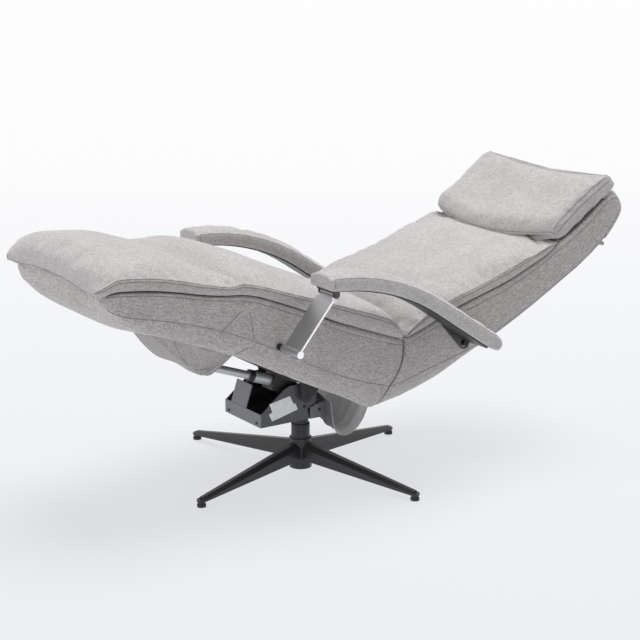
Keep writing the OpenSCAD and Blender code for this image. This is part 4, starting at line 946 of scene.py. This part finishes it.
N_BACK = 100
back_top_line = [(26, 38), (45, 36.5), (136, 40.5), (203, 43.5), (260, 41.5), (313, 39.5), (360, 38.5),
                 (427, 45.5), (485, 52.5), (531, 63), (606, 77), (670, 97), (716, 117), (741, 119),
                 (759, 108), (769, 91)]
back_mid_line = [(-49, -56), (0, -62), (54, -64), (117, -68), (195, -75), (300, -66), (408, -50), (504, -31),
                 (590, -14), (654, 5), (716, 38), (748, 62), (764, 76), (768, 80)]
back_low_line = [(-92, -92), (-39, -99), (45, -103), (118, -101), (200, -89), (288, -81), (408, -62),
                 (504, -42), (590, -24), (654, -5), (721, 26), (751, 50), (765, 66), (769, 77)]
grow = np.r_[0, 0.002, 0.006, np.linspace(0.014, 0.985, N_BACK - 7), 0.991, 0.9955, 0.9985, 1]
lines = [back(spread(rounded(line, 2), N_BACK, grow))
         for line in (back_top_line, back_mid_line, back_low_line)]
bows = [max(0, 1 - k / 10.0) ** 1.5 * turned([13, 2], SEAT_SLOPE) for k in range(N_BACK)]
half = np.interp(grow, [0, 0.006, 0.02, 0.94, 0.975, 0.99, 1], [250, 251, 251, 251, 248, 242, 230])
fade = np.clip(np.arange(N_BACK) / 5.0, 0, 1) * np.clip((N_BACK - 1 - np.arange(N_BACK)) / 3, 0, 1)
back_body, n_body = body("back_body", *lines, half, np.full(N_BACK, 16.0), bows, np.zeros(N_BACK),
                         np.full(N_BACK, 5.0), 71.0, fade)
settle(back_body, BACK_SLOPE)
rows_at = np.arange(1, N_BACK - 3) * n_body
seam_rows = BODY_SEAMS + tuple(n_body + N_ACROSS - 1 - j for j in BODY_SEAMS)
stitch(back_body, [list(rows_at + j) for j in seam_rows], 0.7)
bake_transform(back_body)
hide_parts("back_shell", "back_gussets")

N_FOOT = 60
foot_top_line = [(-350, -15), (-334, 0), (-298, 5), (-238, 9), (-176, 8), (-113, 5), (-60, 4), (-24, 1)]
foot_mid_line = [(-346, -27), (-328, -41), (-299, -48), (-219, -51), (-155, -55), (-99, -62), (-56, -48),
                 (-26, -12)]
foot_low_line = [(-336, -45), (-318, -58), (-254, -80), (-170, -97), (-104, -106), (-60, -56), (-28, -16)]
lines = [foot(spread(rounded(line, 2), N_FOOT)) for line in (foot_top_line, foot_mid_line, foot_low_line)]
along = np.linspace(0, 1, N_FOOT)
arches = np.interp(along, [0, 0.04, 0.1, 0.2, 1], [17, 19, 10, 0, 0])
half = np.interp(along, [0, 0.03, 0.1, 0.2, 1], [204, 217, 232, 238, 238])
unders = np.interp(along, [0, 0.05, 0.25, 0.5, 1], [12, 20, 20, 10, 4])
foot_body, n_body = body("foot_body", *lines, half, np.full(N_FOOT, 4.0), [np.zeros(2)] * N_FOOT, arches,
                         unders, 81.0, np.ones(N_FOOT))
for gx, depth in ((-205, 2.2), (-185, 2.4), (-160, 2.2), (-125, 2.4), (-80, 1.8), (-20, 2.0), (60, 1.4),
                  (150, 1.8)):
    dent = [(gx, *foot((-350, -14))), (gx + 10, *foot((-338, -48))), (gx + 22, *foot((-306, -70)))]
    ridge(foot_body, dent, -depth, 8, above=False)
settle(foot_body, FOOT_SLOPE)
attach(foot_body, "footrest")
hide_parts("foot_shell")


# ---------------------------------------------------------------- hanging cloth
CLOTH_THICK = 3
# The share of the sling's outer face, from its front, that takes the painted shade.
PAINTED_SHADE_SHARE = 0.42


def hung(name, profile_at, half_width, fabric, folds, n_x=64, n_s=34, middle=0.0, inner=None):
    """A sheet of cloth that hangs in a profile across the chair. profile_at gives the side view at a share
    across, from -1 to 1. inner is the material of its hollow side, if it is open at its ends and shows it;
    then the front part of its outer face gets a dark copy of the lining as painted shade."""
    rings = []
    along = np.linspace(0, 1, n_s)
    for i in range(n_x):
        q = 2 * i / (n_x - 1) - 1
        prof = spread(rounded(profile_at(q), 2), n_s)
        way = np.gradient(prof, axis=0)
        way /= np.maximum(np.linalg.norm(way, axis=1), 1e-6)[:, None]
        normal = np.stack([-way[:, 1], way[:, 0]], -1)
        lift = np.array([folds(q, s) for s in along]) * np.sin(np.pi * along) ** 0.5
        outer = prof + normal * lift[:, None]
        loop = np.vstack([outer, (outer + normal * CLOTH_THICK)[::-1]])
        rings.append(np.c_[np.full(len(loop), middle + half_width * q), loop])
    obj = loft(name, rings, fabric, sheet=inner is not None)
    outward(obj)
    if inner:
        obj.data.materials.append(inner)
        # A dark copy of the lining, painted shade for the front of the outer face.
        obj.data.materials.append(LINING_PAINTED_SHADE)
        for face in obj.data.polygons[: (n_x - 1) * 2 * n_s]:
            j = face.index % (2 * n_s)
            face.material_index = 1 if j >= n_s - 1 else 2 if j < PAINTED_SHADE_SHARE * n_s else 0
    return obj


def sheet_size(obj):
    """Width and length of the flat cut, from half the mesh's area and its width."""
    area = sum(p.area for p in obj.data.polygons) / 2
    width = coords(obj)[:, 0].max() - coords(obj)[:, 0].min()
    return width, area / width


POUCH = seat([(-562, -96), (-548, -145), (-503, -180), (-462, -201), (-432, -212), (-411, -192), (-397, -156),
              (-388, -98)])
POUCH_HANG = seat((-475, -98))


def pouch_at(q):
    """The pouch is deep in its middle and closes in a flat slope at both ends."""
    full = min(1.0, (1 - abs(q)) / 0.52)
    full = 1 - (1 - full) ** 1.25
    return POUCH_HANG + (POUCH - POUCH_HANG) * (0.96 + 0.04 * full, 0.14 + 0.86 * full)


def pouch_folds(q, s):
    """Soft waves, a deep crease that runs down the front, and a flap that lies over it on the near side."""
    crease = (q + 0.30 - 1.84 * s) / 0.04
    lip = (q + 0.19 - 1.84 * s) / 0.04
    edge = q - 0.60 + 0.15 * s
    flap = float(smoothstep(edge / 0.035))
    under = math.exp(-(((edge + 0.02) / 0.025) ** 2))
    sharp = 24 * math.exp(-crease * crease) - 7 * math.exp(-lip * lip) - 12 * flap + 12 * under
    return sharp * min(1.0, max(0.0, 1.7 - 2.2 * s)) + 2.0 * math.sin(9 * q + 4 * s)


# The pouch's cloth is darkened as painted shade.
pouch = hung("knee_cloth", pouch_at, 226, FABRIC_PAINTED_SHADE, pouch_folds, 130, 44)
settle(pouch, SEAT_SLOPE)
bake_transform(pouch)
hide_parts("knee_pouch")
sheet_size(pouch)

SLING_FAR = np.array([(30, 205), (38, 170), (48, 135), (58, 121), (78, 113), (97, 124), (114, 148),
                      (128, 172), (138, 205)])
SLING_NEAR = np.array([(12, 205), (18, 165), (23, 138), (34, 118), (56, 109), (80, 114), (101, 130),
                       (121, 156), (138, 200)])


def sling_at(q):
    """The near end of the sling droops and stays open."""
    near = float(smoothstep((q - 0.1) / 0.9))
    return SLING_FAR * (1 - near) + SLING_NEAR * near


def sling_folds(q, s):
    return 3 * math.sin(9 * q + 3 * s) + 2 * math.sin(21 * q + 5 * s)


# The sling's hollow side gets a pale copy of the lining: painted light, where it faces up into the light.
sling = hung("tail_cloth", sling_at, 122, LINING, sling_folds, middle=-8.0, inner=LINING_PAINTED_LIGHT)
settle(sling)
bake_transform(sling)
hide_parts("tail_sling")
sheet_size(sling)

# strap over the head end
STRAP = back([(712, 122), (744, 129), (756, 119), (764, 103), (772, 82), (770, 62), (754, 46), (722, 24),
              (697, 11)])
strap = hung("pillow_strap", lambda q: STRAP, 243, FABRIC_SIDE,
             lambda q, s: 1.2 * math.sin(9 * q + 4 * s), 50, 44)
settle(strap, BACK_SLOPE)
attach(strap, "pillow")
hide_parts("pillow_flap")
sheet_size(strap)


# ---------------------------------------------------------------- blank stickers
def sticker(name, corners, x, body_name):
    points = [(x, *p) for p in corners] + [(x + 0.4, *p) for p in corners]
    n = len(corners)
    faces = [tuple(range(n))[::-1], tuple(range(n, 2 * n))]
    faces += [(i, (i + 1) % n, n + (i + 1) % n, n + i) for i in range(n)]
    obj = make(name, points, faces, PAPER)
    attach(obj, body_name)


PAPER = metal("blank_paper", (0.98, 0.98, 0.98), 0.6, (60, 60, 60), 0.05, 0.0)
plate = max(NODES["side_plates"].data.vertices, key=lambda p: p.co.x).co.x / MM
STICKER = [(-145, 215), (-85, 226), (-75, 205), (-69, 204), (-62, 188), (-137, 170), (-146, 189), (-136, 193)]
sticker("blank_sticker", STICKER[::-1], plate + 0.1, "carriage")

# ---------------------------------------------------------------- floor and light
def studio_floor():
    """A pale floor that is partly lit from within, so that shadows stay soft."""
    m, nt, shader = material("floor_paint")
    co = nt.nodes.new("ShaderNodeTexCoord").outputs["Object"]
    dot = node(nt, "ShaderNodeVectorMath", operation="DOT_PRODUCT")
    dot.inputs[1].default_value = (-0.83, 0.558, 0)
    nt.links.new(co, dot.inputs[0])
    far = nt.nodes.new("ShaderNodeMapRange")
    far.inputs["From Min"].default_value, far.inputs["From Max"].default_value = -1.2, 4.6
    nt.links.new(dot.outputs["Value"], far.inputs["Value"])
    glow = mixed(nt, far.outputs[0], (0.638, 0.654, 0.686), (0.752, 0.751, 0.756))
    nt.links.new(glow, shader.inputs["Emission Color"])
    shader.inputs["Emission Strength"].default_value = 1.0
    shader.inputs["Base Color"].default_value = (0.16, 0.161, 0.164, 1)
    shader.inputs["Roughness"].default_value = 0.8
    shader.inputs["Specular IOR Level"].default_value = 0.1
    return m


FLOOR, FLOOR_Z = 60, -0.0005
corners = [(x * FLOOR, y * FLOOR, FLOOR_Z) for x, y in ((-1, -1), (1, -1), (1, 1), (-1, 1))]
floor_mesh = bpy.data.meshes.new("floor")
floor_mesh.from_pydata(corners, [], [(0, 1, 2, 3)])
floor_mesh.materials.append(studio_floor())
floor = placed("floor", floor_mesh)

WORLD_LEVEL, BACKGROUND_TONE = 0.27, 0.955
world = bpy.data.worlds.new("studio")
bpy.context.scene.world = world
world.use_nodes = True
nt = world.node_tree
bg = nt.nodes["Background"]
bg.inputs["Color"].default_value = (1.0, 1.0, 1.0, 1)
bg.inputs["Strength"].default_value = WORLD_LEVEL
white = node(nt, "ShaderNodeBackground", Strength=1.0)
white.inputs["Color"].default_value = (*[BACKGROUND_TONE] * 3, 1)
path = nt.nodes.new("ShaderNodeLightPath")
seen = path.outputs["Is Camera Ray"]
for ray in ("Is Glossy Ray", "Is Transmission Ray"):
    either = node(nt, "ShaderNodeMath", operation="MAXIMUM")
    nt.links.new(seen, either.inputs[0])
    nt.links.new(path.outputs[ray], either.inputs[1])
    seen = either.outputs[0]
mixer = nt.nodes.new("ShaderNodeMixShader")
nt.links.new(seen, mixer.inputs[0])
nt.links.new(bg.outputs[0], mixer.inputs[1])
nt.links.new(white.outputs[0], mixer.inputs[2])
nt.links.new(mixer.outputs[0], nt.nodes["World Output"].inputs["Surface"])


def sun(name, source, strength, angle):
    light = bpy.data.lights.new(name, "SUN")
    light.energy, light.angle = strength, math.radians(angle)
    placed(name, light).rotation_euler = (-Vector(source)).to_track_quat("-Z", "Y").to_euler()


sun("key", (-0.06, 0.30, 1.0), 2.8, 42)
sun("front", (-0.25, -1.0, 0.0), 1.5, 60)

scene = bpy.context.scene
scene.view_settings.view_transform = "Standard"
scene.view_settings.look = "None"

bpy.context.view_layer.update()
